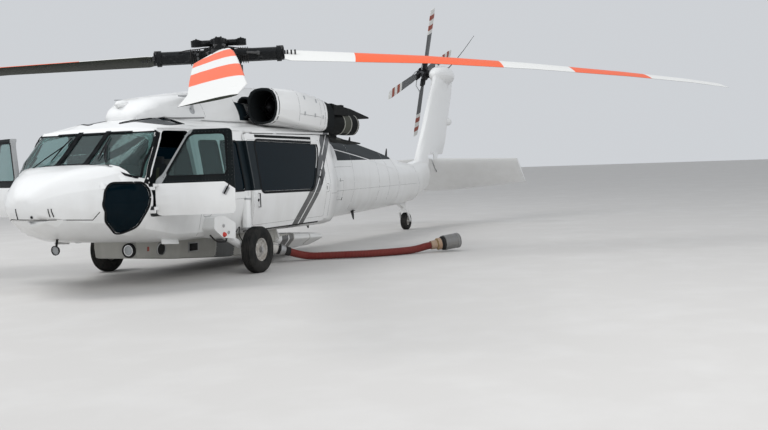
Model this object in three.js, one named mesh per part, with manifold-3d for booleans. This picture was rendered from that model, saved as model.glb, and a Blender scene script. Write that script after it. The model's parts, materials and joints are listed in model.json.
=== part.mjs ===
// Utility helicopter with a belly water tank, parked on its wheels with both cockpit doors open.
// Millimetres, X forward, Y to port, Z up. Stations are measured from the main rotor's centre, and
// MID_LENGTH carries the whole craft so that the origin lies on the ground under its middle.
import * as THREE from 'three';
import { mergeVertices } from 'three/addons/utils/BufferGeometryUtils.js';
import Module from 'manifold-3d';

const wasm = await Module();
wasm.setup();

// Driving dimensions
const MID_LENGTH = 2227;
const SEAM = 0.3;
const RUNNING_GAP = 6;
const PIN_GAP = 0.5;
const WALL = 60;
const FLOOR_Z = 640;
const GLASS_INSET = 10;
const GLASS_THICK = 14;
const COCKPIT_REAR = 2390;
const CABIN_REAR = -1450;
const TRANSITION_REAR = -3650;
const TAIL_CONE_REAR = -7600;
const PYLON_BASE_REAR = -8450;

// Main rotor
const ROTOR_RADIUS = 8180;
const ROTOR_Z = 3300;
const MAST_TILT = THREE.MathUtils.degToRad(3);
const BLADE_COUNT = 4;
const BLADE_START = THREE.MathUtils.degToRad(31);
const BLADE_CHORD = 527;
const BLADE_DROOP = 650;
const BLADE_ROOT = 1010;
const TIP_SWEEP_START = 0.93;
const TIP_SWEEP = THREE.MathUtils.degToRad(9.2);
const MAST_RADIUS = 130;

// Tail rotor
const TAIL_ROTOR = { x: -9930, y: -370, z: 3587, radius: 1676, chord: 247 };
const TAIL_CANT = THREE.MathUtils.degToRad(20);
const TAIL_ROTOR_TURN = THREE.MathUtils.degToRad(23);

// Wheels
const MAIN_WHEEL = { x: 1300, y: 1310, radius: 330, width: 200, rim: 175, axle: 34 };
const TAIL_WHEEL = { x: -7400, radius: 190, width: 140, rim: 95, axle: 18, swivelX: -7250, swivelZ: 480 };

// Doors
const COCKPIT_DOOR = { hingeX: 3420, rear: 2420, bottom: 930, top: 2005, swing: THREE.MathUtils.degToRad(62) };
const CABIN_DOOR = { front: 1110, rear: -1230, bottom: 590, top: 1985, thick: 40, standOff: 6 };
const DOOR_RAIL = { front: 1050, rear: -1640, inner: 955, outer: 1037, bottom: 2000, top: 2030 };
const DOOR_HANGERS = [980, 180];

// Stabilator
const STABILATOR = { x: -8920, z: 1350, halfSpan: 2190, droop: THREE.MathUtils.degToRad(40) };
const STABILATOR_LUG = { y: 170, thick: 24, pin: 18, back: 120 };

const PAINTS = {
  white: { color: 0xeeeeea, roughness: 0.35, metalness: 0.05 },
  black: { color: 0x17181a, roughness: 0.5, metalness: 0.1 },
  charcoal: { color: 0x3a3f42, roughness: 0.45, metalness: 0.1 },
  glass: { color: 0x1b2a2c, roughness: 0.06, metalness: 0.0 },
  steel: { color: 0xa8abad, roughness: 0.35, metalness: 0.9 },
  darkSteel: { color: 0x4c4e50, roughness: 0.45, metalness: 0.8 },
  rubber: { color: 0x1c1c1d, roughness: 0.85, metalness: 0.0 },
  tank: { color: 0xc9cccc, roughness: 0.45, metalness: 0.05 },
  hose: { color: 0x7c2620, roughness: 0.7, metalness: 0.0 },
  orange: { color: 0xe8502c, roughness: 0.4, metalness: 0.05 },
  seat: { color: 0x2a2d2f, roughness: 0.9, metalness: 0.0 },
};
const materials = Object.fromEntries(
  Object.entries(PAINTS).map(([name, paint]) => [name, new THREE.MeshStandardMaterial({ name, ...paint })]),
);

const craft = new THREE.Group();
craft.position.x = MID_LENGTH;
const sideNames = [[1, 'port'], [-1, 'starboard']];

function addMesh(name, shape, paint, parent = craft) {
  const geometry = shape.isBufferGeometry ? shape : geometryOf(shape);
  const mesh = new THREE.Mesh(geometry, materials[paint]);
  mesh.name = name;
  parent.add(mesh);
  return mesh;
}

// Solids and surfaces

function solidOf(geometry) {
  const bare = geometry.clone();
  bare.deleteAttribute('normal');
  bare.deleteAttribute('uv');
  const merged = mergeVertices(bare, 1e-3);
  const index = merged.index.array;
  const kept = [];
  for (let i = 0; i < index.length; i += 3) {
    const [a, b, c] = [index[i], index[i + 1], index[i + 2]];
    if (a !== b && b !== c && c !== a) kept.push(a, b, c);
  }
  return new wasm.Manifold(new wasm.Mesh({
    numProp: 3,
    vertProperties: new Float32Array(merged.attributes.position.array),
    triVerts: new Uint32Array(kept),
  }));
}

function geometryOf(solid) {
  const mesh = solid.getMesh();
  const geometry = new THREE.BufferGeometry();
  geometry.setAttribute('position', new THREE.BufferAttribute(mesh.vertProperties, 3));
  geometry.setIndex(new THREE.BufferAttribute(mesh.triVerts, 1));
  geometry.computeVertexNormals();
  return geometry;
}

function union(...solids) {
  return solids.reduce((sum, solid) => sum.add(solid));
}

function box(x0, x1, y0, y1, z0, z1) {
  const geometry = new THREE.BoxGeometry(x1 - x0, y1 - y0, z1 - z0);
  geometry.translate((x0 + x1) / 2, (y0 + y1) / 2, (z0 + z1) / 2);
  return solidOf(geometry);
}

// A cylinder from one point to another.
function rod(from, to, radius, sides = 12, endRadius = radius) {
  const a = new THREE.Vector3(...from);
  const b = new THREE.Vector3(...to);
  const along = b.clone().sub(a);
  const geometry = new THREE.CylinderGeometry(endRadius, radius, along.length(), sides);
  const turn = new THREE.Quaternion().setFromUnitVectors(new THREE.Vector3(0, 1, 0), along.normalize());
  geometry.applyQuaternion(turn);
  geometry.translate(...a.add(b).multiplyScalar(0.5).toArray());
  return solidOf(geometry);
}

// A round hole for a turning shaft, whose flat facets stay clear of the shaft all round.
function bore(from, to, shaftRadius, sides) {
  return rod(from, to, (shaftRadius + PIN_GAP) / Math.cos(Math.PI / sides), sides);
}

// A closed outline of [u, v] corners, each rounded by the same radius.
function outlineShape(corners, radius = 0) {
  const shape = new THREE.Shape();
  const count = corners.length;
  corners.forEach(([u, v], i) => {
    const corner = new THREE.Vector2(u, v);
    const before = new THREE.Vector2(...corners[(i + count - 1) % count]);
    const after = new THREE.Vector2(...corners[(i + 1) % count]);
    const toBefore = corner.distanceTo(before);
    const toAfter = corner.distanceTo(after);
    const cut = Math.min(radius, toBefore * 0.49, toAfter * 0.49);
    const start = corner.clone().lerp(before, cut / toBefore);
    const end = corner.clone().lerp(after, cut / toAfter);
    if (i === 0) shape.moveTo(start.x, start.y);
    else shape.lineTo(start.x, start.y);
    if (cut > 0) shape.quadraticCurveTo(u, v, end.x, end.y);
  });
  shape.closePath();
  return shape;
}

// The same outline with every edge moved outward by the distance, or inward where it is negative.
function grown(corners, distance) {
  const points = corners.map(([u, v]) => new THREE.Vector2(u, v));
  const turn = Math.sign(THREE.ShapeUtils.area(points));
  const count = points.length;
  return points.map((point, i) => {
    const before = point.clone().sub(points[(i + count - 1) % count]).normalize();
    const after = points[(i + 1) % count].clone().sub(point).normalize();
    const out = new THREE.Vector2(before.y + after.y, -before.x - after.x).multiplyScalar(turn).normalize();
    const edgeOut = new THREE.Vector2(before.y, -before.x).multiplyScalar(turn);
    const moved = point.clone().add(out.multiplyScalar(distance / out.dot(edgeOut)));
    return [moved.x, moved.y];
  });
}

function extruded(corners, depth, radius, segments = 3) {
  return new THREE.ExtrudeGeometry(outlineShape(corners, radius), {
    depth, bevelEnabled: false, curveSegments: segments, steps: 1,
  });
}

// Prisms whose outline is seen from the side (X, Z), from the front (Y, Z) or from above (X, Y).
function sidePrism(corners, y0, y1, radius = 0) {
  const geometry = extruded(corners, y1 - y0, radius);
  geometry.rotateX(Math.PI / 2).translate(0, y1, 0);
  return solidOf(geometry);
}

function frontPrism(corners, x0, x1, radius = 0) {
  const geometry = extruded(corners, x1 - x0, radius);
  const axes = new THREE.Matrix4().makeBasis(
    new THREE.Vector3(0, 1, 0), new THREE.Vector3(0, 0, 1), new THREE.Vector3(1, 0, 0),
  );
  geometry.applyMatrix4(axes).translate(x0, 0, 0);
  return solidOf(geometry);
}

function planPrism(corners, z0, z1, radius = 0) {
  const geometry = extruded(corners, z1 - z0, radius);
  geometry.translate(0, 0, z0);
  return solidOf(geometry);
}

// A ring turned about an axis: profile points are [radius, height along the axis].
function turned(profile, sides) {
  const closed = [...profile, profile[0]].map(([r, h]) => new THREE.Vector2(r, h));
  return new THREE.LatheGeometry(closed, sides);
}

// A closed skin through rings of equal point counts, with flat ends.
function loft(rings) {
  const count = rings[0].length;
  const points = rings.flat();
  const last = (rings.length - 1) * count;
  const centre = (ring) => ring.reduce((sum, p) => sum.add(p), new THREE.Vector3()).divideScalar(count);
  points.push(centre(rings[0]), centre(rings[rings.length - 1]));
  const index = [];
  for (let i = 0; i < count; i++) {
    const j = (i + 1) % count;
    for (let k = 0; k < rings.length - 1; k++) {
      const [a, b, c, d] = [k * count + i, k * count + j, (k + 1) * count + j, (k + 1) * count + i];
      index.push(a, b, c, a, c, d);
    }
    index.push(points.length - 2, j, i);
    index.push(points.length - 1, last + i, last + j);
  }
  const corner = (i) => points[index[i]];
  let volume = 0;
  for (let i = 0; i < index.length; i += 3) {
    volume += corner(i).dot(corner(i + 1).clone().cross(corner(i + 2)));
  }
  if (volume < 0) index.reverse();
  const geometry = new THREE.BufferGeometry().setFromPoints(points);
  geometry.setIndex(index);
  return solidOf(geometry);
}

// Rounds a closed loop of corners [u, v, roundness]: 0 keeps the corner, 1 starts the curve at mid edge.
function roundedLoop(corners, pieces = 3) {
  const count = corners.length;
  return corners.flatMap(([u, v, round], i) => {
    if (round === 0) return [new THREE.Vector2(u, v)];
    const corner = new THREE.Vector2(u, v);
    const before = new THREE.Vector2(corners[(i + count - 1) % count][0], corners[(i + count - 1) % count][1]);
    const after = new THREE.Vector2(corners[(i + 1) % count][0], corners[(i + 1) % count][1]);
    const start = corner.clone().lerp(before, round * 0.49);
    const end = corner.clone().lerp(after, round * 0.49);
    return new THREE.QuadraticBezierCurve(start, corner, end).getPoints(pieces);
  });
}

// Hull sections. Columns: station, roof height, roof half width, widest height, widest half width,
// belly height, belly half width, the roundness of the roof, side and belly corners, crown height.
const HULL = [
  [4520, 1170, 60, 1110, 110, 1050, 60, 1, 1, 1, 1180],
  [4490, 1240, 150, 1110, 250, 960, 150, 1, 1, 1, 1255],
  [4400, 1330, 240, 1110, 400, 870, 220, 1, 1, 1, 1350],
  [4270, 1410, 350, 1105, 560, 790, 270, 1, 1, 1, 1435],
  [4100, 1475, 470, 1095, 730, 715, 360, 1, 1, 1, 1505],
  [3900, 1530, 620, 1090, 905, 665, 490, 1, 1, 1, 1560],
  [3700, 1565, 740, 1100, 1030, 640, 670, 0.9, 0.9, 0.9, 1595],
  [3600, 1585, 830, 1110, 1090, 625, 760, 0.7, 0.8, 0.85, 1605],
  [3420, 1735, 930, 1120, 1125, 605, 860, 0.5, 0.5, 0.7, 1750],
  [3050, 2035, 960, 1120, 1140, 575, 940, 0.3, 0.5, 0.5, 2075],
  [2850, 2060, 968, 1120, 1145, 560, 980, 0.2, 0.4, 0.4, 2150],
  [2400, 2080, 978, 1120, 1150, 540, 1010, 0.2, 0.4, 0.4, 2215],
  [CABIN_REAR, 2080, 980, 1120, 1150, 490, 1010, 0.2, 0.4, 0.4, 2190],
  [-1700, 2070, 975, 1120, 1150, 490, 1010, 0.2, 0.4, 0.4, 2150],
  [-2250, 1960, 640, 1150, 830, 500, 640, 0.4, 0.5, 0.6, 2090],
  [-2900, 1800, 500, 1100, 650, 500, 430, 0.5, 0.6, 0.8, 2050],
  [TRANSITION_REAR, 1690, 470, 1080, 570, 505, 330, 0.6, 0.8, 0.9, 2010],
  [-5600, 1400, 380, 1000, 440, 545, 230, 0.6, 0.8, 0.9, 1715],
  [-6800, 1260, 300, 960, 350, 580, 190, 0.7, 0.9, 0.9, 1505],
  [TAIL_CONE_REAR, 1200, 240, 950, 285, 640, 150, 0.8, 0.9, 0.9, 1440],
  [PYLON_BASE_REAR, 1350, 190, 1100, 210, 860, 110, 0.8, 0.9, 0.9, 1560],
];
// The crown is a flat strip along the roof, this share of the roof's width.
const CROWN_SHARE = 0.45;

function hullRing(row, shrink) {
  const [x, top, wTop, mid, wMid, bottom, wBottom, roundTop, roundMid, roundBottom, crown] = row;
  const side = [
    [wTop - shrink, top - shrink, roundTop],
    [wMid - shrink, mid, roundMid],
    [wBottom - shrink, bottom + shrink, roundBottom],
  ];
  const crownSide = crown === undefined ? [] : [[wTop * CROWN_SHARE, crown - shrink, 0]];
  const half = [...crownSide, ...side];
  const otherHalf = half.map(([y, z, round]) => [-y, z, round]).reverse();
  return roundedLoop([...half, ...otherHalf]).map((p) => new THREE.Vector3(x, p.x, p.y));
}

function sectionLoft(rows, shrink = 0) {
  return loft(rows.map((row) => hullRing(row, shrink)));
}

const hullOuter = sectionLoft(HULL);
const hullSkin = sectionLoft(HULL, -SEAM);
const hollowRows = HULL.filter(([x]) => x <= 4400 && x >= CABIN_REAR);
const hullInner = sectionLoft(hollowRows, WALL);
const glassBand = sectionLoft(hollowRows, GLASS_INSET)
  .subtract(sectionLoft(hollowRows, GLASS_INSET + GLASS_THICK));
const glassSlot = sectionLoft(hollowRows, GLASS_INSET - SEAM)
  .subtract(sectionLoft(hollowRows, GLASS_INSET + GLASS_THICK + SEAM));

const WIDE = 1600;
const HIGH = 3000;
const CAVITY_FRONT = 3520;
const FOOTWELL_FRONT = 3750;
const cavity = hullInner.intersect(union(
  box(CABIN_REAR + 10, CAVITY_FRONT, -WIDE, WIDE, FLOOR_Z, HIGH),
  box(CAVITY_FRONT - 10, FOOTWELL_FRONT, 330, WIDE, FLOOR_Z + 60, 1380),
  box(CAVITY_FRONT - 10, FOOTWELL_FRONT, -WIDE, -330, FLOOR_Z + 60, 1380),
));

// Outlines seen from the side, as [station, height].
const NOSE_DOOR = [
  [5000, 950], [4080, 950], [4015, 1050], [4005, 1160], [3950, 1340], [3860, 1430], [3650, 1470], [3650, 1800],
  [5000, 1800],
];
const COCKPIT_DOOR_OUTLINE = [
  [COCKPIT_DOOR.hingeX - 8, COCKPIT_DOOR.bottom],
  [COCKPIT_DOOR.hingeX - 8, 1390],
  [3330, 1440],
  [2975, COCKPIT_DOOR.top],
  [COCKPIT_DOOR.rear + 20, COCKPIT_DOOR.top],
  [COCKPIT_DOOR.rear, 1300],
  [COCKPIT_DOOR.rear, COCKPIT_DOOR.bottom],
];
const COCKPIT_DOOR_WINDOW = [[3270, 1430], [2960, 1935], [2540, 1935], [2520, 1430]];
const CHIN_WINDOW = [
  [3820, 1360], [3485, 1350], [3452, 1240], [3480, 1055], [3545, 800], [3660, 728], [3880, 895], [3965, 1120],
  [3905, 1290],
];
const WINDSCREEN_SIDE = [[3505, 1320], [3065, 2010], [2940, 2200], [3630, 2200], [3630, 1600], [3575, 1400]];
const GUNNER_WINDOWS = [[[2250, 1180], [2230, 1870], [1790, 1870], [1790, 1180]],
  [[1730, 1180], [1730, 1870], [1270, 1870], [1270, 1180]]];
const GUNNER_GLASS = [[2260, 1170], [2240, 1880], [1260, 1880], [1260, 1170]];
const CABIN_OPENING = [[1050, FLOOR_Z + 5], [1050, 1930], [-1150, 1930], [-1150, FLOOR_Z + 5]];
const CABIN_DOOR_OUTLINE = [
  [CABIN_DOOR.front, CABIN_DOOR.bottom], [CABIN_DOOR.front, CABIN_DOOR.top],
  [CABIN_DOOR.rear, CABIN_DOOR.top], [CABIN_DOOR.rear, CABIN_DOOR.bottom],
];
const CABIN_DOOR_WINDOW = [[880, 1145], [850, 1880], [-1110, 1840], [-1060, 1640], [-740, 1120]];

// Outlines seen from the front, as [half width, height].
const CENTRE_PANE = [[-195, 1610], [195, 1610], [195, 2000], [-195, 2000]];
const SIDE_PANE = [[250, 1610], [620, 1560], [1300, 1290], [1300, 2010], [250, 2005]];
const WINDSCREEN_HALF = [[250, 1600], [620, 1550], [1300, 1280], [1300, 2018], [250, 2013]];

// Outline seen from above, as [station, half width].
const ROOF_WINDOW = [[2900, 240], [2680, 860], [2330, 860], [2180, 560], [2180, 240]];

function mirrored(corners) {
  return corners.map(([u, v]) => [-u, v]);
}

function bothSides(makeRegion) {
  return union(makeRegion(1), makeRegion(-1));
}

function sideRegion(corners, side, radius) {
  return side > 0 ? sidePrism(corners, 100, WIDE, radius) : sidePrism(corners, -WIDE, -100, radius);
}

// Space seen through a windscreen pane, and the space behind all panes and posts that holds the glass.
function paneRegion(corners) {
  return frontPrism(corners, 2700, 4200, 30).intersect(sidePrism(WINDSCREEN_SIDE, -WIDE, WIDE, 20));
}

const windscreenOpening = union(
  paneRegion(CENTRE_PANE), paneRegion(SIDE_PANE), paneRegion(mirrored(SIDE_PANE)),
);

function windscreenRegion(shrink) {
  const whole = [...WINDSCREEN_HALF, ...mirrored(WINDSCREEN_HALF).reverse()];
  return frontPrism(grown(whole, shrink), 2700, 4200, 30)
    .intersect(sidePrism(grown(WINDSCREEN_SIDE, 8 + shrink), -WIDE, WIDE, 20));
}

function chinRegion(side, shrink) {
  return sideRegion(grown(CHIN_WINDOW, shrink), side, 60);
}

function roofRegion(side, shrink) {
  const corners = grown(ROOF_WINDOW, shrink);
  return planPrism(side > 0 ? corners : corners.map(([x, y]) => [x, -y]), 1900, HIGH, 40);
}

function gunnerOpening(side) {
  return union(...GUNNER_WINDOWS.map((corners) => sideRegion(corners, side, 60)));
}

function gunnerRegion(side, shrink) {
  return sideRegion(grown(GUNNER_GLASS, shrink), side, 60);
}

// Nose and cockpit
const noseDoorRegion = (shrink) => sidePrism(grown(NOSE_DOOR, shrink), -WIDE, WIDE);
addMesh('nose_bay_door', hullOuter.intersect(noseDoorRegion(-SEAM / 2)), 'white');

const cockpitDoorOpening = bothSides((side) => sideRegion(grown(COCKPIT_DOOR_OUTLINE, RUNNING_GAP), side, 60));
const cockpitHull = hullOuter
  .intersect(box(COCKPIT_REAR, 5000, -WIDE, WIDE, 0, HIGH))
  .subtract(cavity)
  .subtract(noseDoorRegion(SEAM / 2))
  .subtract(cockpitDoorOpening)
  .subtract(windscreenOpening)
  .subtract(glassSlot.intersect(windscreenRegion(0)))
  .subtract(bothSides((side) => chinRegion(side, 0)))
  .subtract(bothSides((side) => roofRegion(side, 0)));

// Cockpit door hinges: a lug on the frame under a lug on the door, on one upright axis.
const HINGE_OUT = 1118;
const HINGE_RADIUS = 13;
const HINGE_HEIGHTS = [1010, 1300];
const HINGE_LUG = 40;
function hingeLug(side, z0, z1, x0, x1) {
  const y0 = side * (HINGE_OUT - 90);
  const y1 = side * (HINGE_OUT + 4);
  const hingeAt = (z) => [COCKPIT_DOOR.hingeX, side * HINGE_OUT, z];
  return union(
    rod(hingeAt(z0), hingeAt(z1), HINGE_RADIUS),
    box(x0, x1, Math.min(y0, y1), Math.max(y0, y1), z0, z1),
  );
}
// Room in the frame around the door's lug.
function lugPocket(side, z) {
  const y0 = side * (HINGE_OUT - 100);
  const y1 = side * (HINGE_OUT + 40);
  const front = COCKPIT_DOOR.hingeX + HINGE_RADIUS + RUNNING_GAP;
  return box(front - 40, front, Math.min(y0, y1), Math.max(y0, y1), z, z + HINGE_LUG + RUNNING_GAP);
}
const lugPockets = sideNames.flatMap(([side]) => HINGE_HEIGHTS.map((z) => lugPocket(side, z)));
const frameLugs = [];
for (const [side] of sideNames) {
  for (const z of HINGE_HEIGHTS) {
    frameLugs.push(hingeLug(side, z - HINGE_LUG, z - SEAM, COCKPIT_DOOR.hingeX, COCKPIT_DOOR.hingeX + 20));
  }
}
addMesh('cockpit_shell', union(cockpitHull, ...frameLugs)
  .subtract(cavity)
  .subtract(union(...lugPockets)), 'white');
addMesh('windscreen', glassBand.intersect(windscreenRegion(-SEAM)), 'glass');

for (const [side, name] of sideNames) {
  addMesh(`chin_window_${name}`, glassBand.intersect(chinRegion(side, -SEAM)), 'glass');
  addMesh(`roof_window_${name}`, glassBand.intersect(roofRegion(side, -SEAM)), 'glass');
}
const doorBand = hullOuter.subtract(sectionLoft(hollowRows, 48));
for (const [side, name] of sideNames) {
  const pivot = new THREE.Group();
  pivot.position.set(COCKPIT_DOOR.hingeX, side * HINGE_OUT, 0);
  pivot.rotation.z = -side * COCKPIT_DOOR.swing;
  craft.add(pivot);
  const region = sideRegion(grown(COCKPIT_DOOR_OUTLINE, -RUNNING_GAP / 2), side, 60);
  const window = sideRegion(COCKPIT_DOOR_WINDOW, side, 60);
  const lugs = HINGE_HEIGHTS.map((z) => hingeLug(
    side, z + SEAM, z + HINGE_LUG, COCKPIT_DOOR.hingeX - 45, COCKPIT_DOOR.hingeX,
  ).subtract(sectionLoft(hollowRows, 48)));
  const lugRoom = HINGE_HEIGHTS.map((z) => rod(
    [COCKPIT_DOOR.hingeX, side * HINGE_OUT, z - HINGE_LUG - RUNNING_GAP],
    [COCKPIT_DOOR.hingeX, side * HINGE_OUT, z + SEAM], HINGE_RADIUS + RUNNING_GAP, 12,
  ));
  const panel = doorBand.intersect(region).subtract(union(...lugRoom));
  const door = union(panel, ...lugs).subtract(window);
  const glass = glassBand.intersect(sideRegion(grown(COCKPIT_DOOR_WINDOW, -SEAM), side, 60));
  const back = [-COCKPIT_DOOR.hingeX, -side * HINGE_OUT, 0];
  addMesh(`cockpit_door_${name}`, geometryOf(door).translate(...back), 'white', pivot);
  addMesh(`cockpit_door_glass_${name}`, geometryOf(glass).translate(...back), 'glass', pivot);
}

// Cabin
const cabinHull = hullOuter
  .intersect(box(CABIN_REAR, COCKPIT_REAR - SEAM, -WIDE, WIDE, 0, HIGH))
  .subtract(cavity)
  .subtract(bothSides((side) => sideRegion(CABIN_OPENING, side, 80)))
  .subtract(bothSides((side) => roofRegion(side, 0)))
  .subtract(bothSides(gunnerOpening))
  .subtract(bothSides((side) => glassSlot.intersect(gunnerRegion(side, 0))));
function doorRail(side) {
  const { front, rear, inner, outer, bottom, top } = DOOR_RAIL;
  const corners = [
    [front, inner], [front, outer], [rear, outer], [rear, inner + 45], [CABIN_REAR + 10, inner + 45],
    [CABIN_REAR + 10, inner],
  ];
  return planPrism(corners.map(([x, y]) => [x, side * y]), bottom, top);
}
addMesh('cabin_shell', union(cabinHull, doorRail(1), doorRail(-1)), 'white');
for (const [side, name] of sideNames) {
  addMesh(`gunner_window_${name}`, glassBand.intersect(gunnerRegion(side, -SEAM)), 'glass');
}

// The doors follow the cabin's rear section, the widest that they pass on their way aft.
const widest = HULL.find(([x]) => x === CABIN_REAR).slice(1);
const doorRows = [2400, CABIN_REAR].map((x) => [x, ...widest]);
const doorSkin = (standOff) => sectionLoft(doorRows, -standOff);
const slideBand = doorSkin(CABIN_DOOR.standOff + CABIN_DOOR.thick).subtract(doorSkin(CABIN_DOOR.standOff));
const slideGlassBand = doorSkin(CABIN_DOOR.standOff + 28).subtract(doorSkin(CABIN_DOOR.standOff + 14));
for (const [side, name] of sideNames) {
  const door = slideBand.intersect(sideRegion(CABIN_DOOR_OUTLINE, side, 70))
    .subtract(sideRegion(CABIN_DOOR_WINDOW, side, 70));
  const hangers = DOOR_HANGERS.map((x) => box(
    x - 50, x + 50, Math.min(side * 1004, side * 1034), Math.max(side * 1004, side * 1034),
    CABIN_DOOR.top - 12, DOOR_RAIL.bottom - SEAM,
  ));
  addMesh(`cabin_door_${name}`, union(door, ...hangers), 'white');
  const glass = slideGlassBand.intersect(sideRegion(grown(CABIN_DOOR_WINDOW, -SEAM), side, 70));
  addMesh(`cabin_door_glass_${name}`, glass, 'glass');
}

// Cockpit interior
const PEDESTAL = [[2560, FLOOR_Z + SEAM], [3080, FLOOR_Z + SEAM], [3350, 720], [3350, 1010], [2560, 1010]];
const PANEL = [[3490, 1200], [3490, 1560], [3330, 1575], [3240, 1500], [3300, 1200]];
addMesh('instrument_panel', union(
  sidePrism(PANEL, -780, 780),
  sidePrism(PEDESTAL, -190, 190),
  box(3290, 3470, -190, 190, 1000, 1250),
), 'black');
const SEAT_SIDE = [
  [2480, FLOOR_Z + SEAM], [2960, FLOOR_Z + SEAM], [3010, 980], [2640, 960], [2500, 1720], [2420, 1720],
];
for (const [side, name] of sideNames) {
  const inner = side > 0 ? 260 : -720;
  addMesh(`crew_seat_${name}`, sidePrism(SEAT_SIDE, inner, inner + 460, 40), 'seat');
}

// Aft fuselage and tail
const slice = (front, rear) => hullOuter.intersect(box(rear, front, -WIDE, WIDE, 0, HIGH));
addMesh('aft_fuselage', slice(CABIN_REAR - SEAM, TRANSITION_REAR), 'white');
addMesh('tail_cone', slice(TRANSITION_REAR - SEAM, TAIL_CONE_REAR), 'white');

// Fin sections. Columns: height, leading edge station, trailing edge station, half thickness.
const FIN = [
  [1250, -7900, -9520, 150],
  [2000, -8410, -10070, 135],
  [2600, -8815, -10330, 120],
  [3150, -9190, -10600, 110],
  [3560, -9470, -10700, 130],
  [3760, -9640, -10560, 90],
];
// Airfoil outline: share of the chord from the leading edge, share of the half thickness.
const FOIL = [[0, 0], [0.03, 0.4], [0.12, 0.8], [0.3, 1], [0.6, 0.75], [1, 0.06]];
function foilLoop() {
  const lower = FOIL.slice(1).reverse().map(([u, v]) => [u, -v]);
  return [...FOIL, ...lower];
}
const finRings = FIN.map(([z, lead, trail, half]) => foilLoop()
  .map(([u, v]) => new THREE.Vector3(lead + (trail - lead) * u, half * v, z)));
const gearbox = new THREE.SphereGeometry(1, 16, 10);
gearbox.scale(640, 235, 230).translate(-10050, -20, 3560);
const TAIL_AXIS = new THREE.Vector3(0, -Math.cos(TAIL_CANT), Math.sin(TAIL_CANT));
const tailHub = new THREE.Vector3(TAIL_ROTOR.x, TAIL_ROTOR.y, TAIL_ROTOR.z);
const alongTail = (distance) => tailHub.clone().addScaledVector(TAIL_AXIS, distance).toArray();
const TAIL_SHAFT = 50;
const stabilatorLug = (side) => sidePrism(
  [[-8780, 1700], [-9060, 1700], [STABILATOR.x - 35, STABILATOR.z - 40], [STABILATOR.x + 35, STABILATOR.z - 40]],
  side * STABILATOR_LUG.y - STABILATOR_LUG.thick / 2, side * STABILATOR_LUG.y + STABILATOR_LUG.thick / 2, 20,
);
const PYLON_UNDERSIDE = { front: -8560, z: 1650 };
const pylonBody = union(slice(TAIL_CONE_REAR - SEAM, PYLON_BASE_REAR), loft(finRings), solidOf(gearbox))
  .intersect(box(-11000, TAIL_CONE_REAR - SEAM, -WIDE, WIDE, 0, 5000))
  .subtract(bore(alongTail(-320), alongTail(400), TAIL_SHAFT, 24))
  .subtract(box(-11000, PYLON_UNDERSIDE.front, -WIDE, WIDE, 0, PYLON_UNDERSIDE.z));
const stabilatorBore = bore(
  [STABILATOR.x, -220, STABILATOR.z], [STABILATOR.x, 220, STABILATOR.z], STABILATOR_LUG.pin, 16,
);
const lugPlate = box(-9060, -8780, -STABILATOR_LUG.y - 12, STABILATOR_LUG.y + 12, PYLON_UNDERSIDE.z, 1700);
addMesh('tail_pylon', union(pylonBody, lugPlate, stabilatorLug(1), stabilatorLug(-1))
  .subtract(stabilatorBore), 'white');

// Tail rotor, in a frame whose Z is the shaft.
const tailRotor = new THREE.Group();
tailRotor.position.copy(tailHub);
tailRotor.quaternion.setFromRotationMatrix(new THREE.Matrix4().makeBasis(
  new THREE.Vector3(0, Math.sin(TAIL_CANT), Math.cos(TAIL_CANT)),
  new THREE.Vector3(1, 0, 0).negate(),
  TAIL_AXIS,
));
craft.add(tailRotor);
addMesh('tail_rotor_hub', union(
  rod([0, 0, -300], [0, 0, 215], TAIL_SHAFT, 24),
  rod([0, 0, -20], [0, 0, 41], 130, 16),
  rod([0, 0, 184], [0, 0, 215], 110, 16),
), 'black', tailRotor);
// Two crossed beams, each with a blade at both ends. Columns: radius, chord, half thickness.
const TAIL_BLADE = [
  [0, 120, 30], [300, 130, 30], [450, 215, 22], [1480, TAIL_ROTOR.chord, 16], [TAIL_ROTOR.radius, 200, 10],
];
const BEAM_HEIGHTS = [75, 150];
BEAM_HEIGHTS.forEach((height, i) => {
  const halves = [0, 1].map((end) => {
    const rings = TAIL_BLADE.map(([r, chord, thick]) => foilLoop()
      .map(([u, v]) => new THREE.Vector3(r, (u - 0.4) * chord, v * thick)));
    const geometry = geometryOf(loft(rings));
    geometry.rotateZ(end * Math.PI);
    return solidOf(geometry);
  });
  const beam = geometryOf(union(...halves, box(-140, 140, -60, 60, -33, 33)));
  beam.rotateZ(-TAIL_ROTOR_TURN + i * Math.PI / 2).translate(0, 0, height);
  addMesh(`tail_rotor_beam_${i + 1}`, solidOf(beam).subtract(bore([0, 0, -200], [0, 0, 300], TAIL_SHAFT, 24)),
    'charcoal', tailRotor);
});

// Stabilator, in a frame turned about its hinge.
const stabilator = new THREE.Group();
stabilator.position.set(STABILATOR.x, 0, STABILATOR.z);
stabilator.rotation.y = -STABILATOR.droop;
craft.add(stabilator);
// Columns: half span, leading edge ahead of the hinge, trailing edge behind it, half thickness.
const STABILATOR_ROWS = [
  [-STABILATOR.halfSpan, 230, -620, 36],
  [-250, 320, -870, 62],
  [250, 320, -870, 62],
  [STABILATOR.halfSpan, 230, -620, 36],
];
const stabRings = STABILATOR_ROWS.map(([y, lead, trail, half]) => foilLoop()
  .map(([u, v]) => new THREE.Vector3(lead + (trail - lead) * u, y, half * v)));
const lugSlot = (side) => box(
  -STABILATOR_LUG.back, 400, side * STABILATOR_LUG.y - STABILATOR_LUG.thick / 2 - RUNNING_GAP,
  side * STABILATOR_LUG.y + STABILATOR_LUG.thick / 2 + RUNNING_GAP, -200, 200,
);
addMesh('stabilator', union(
  loft(stabRings).subtract(lugSlot(1)).subtract(lugSlot(-1)),
  rod([0, -215, 0], [0, 215, 0], STABILATOR_LUG.pin, 16),
), 'white', stabilator);

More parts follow.
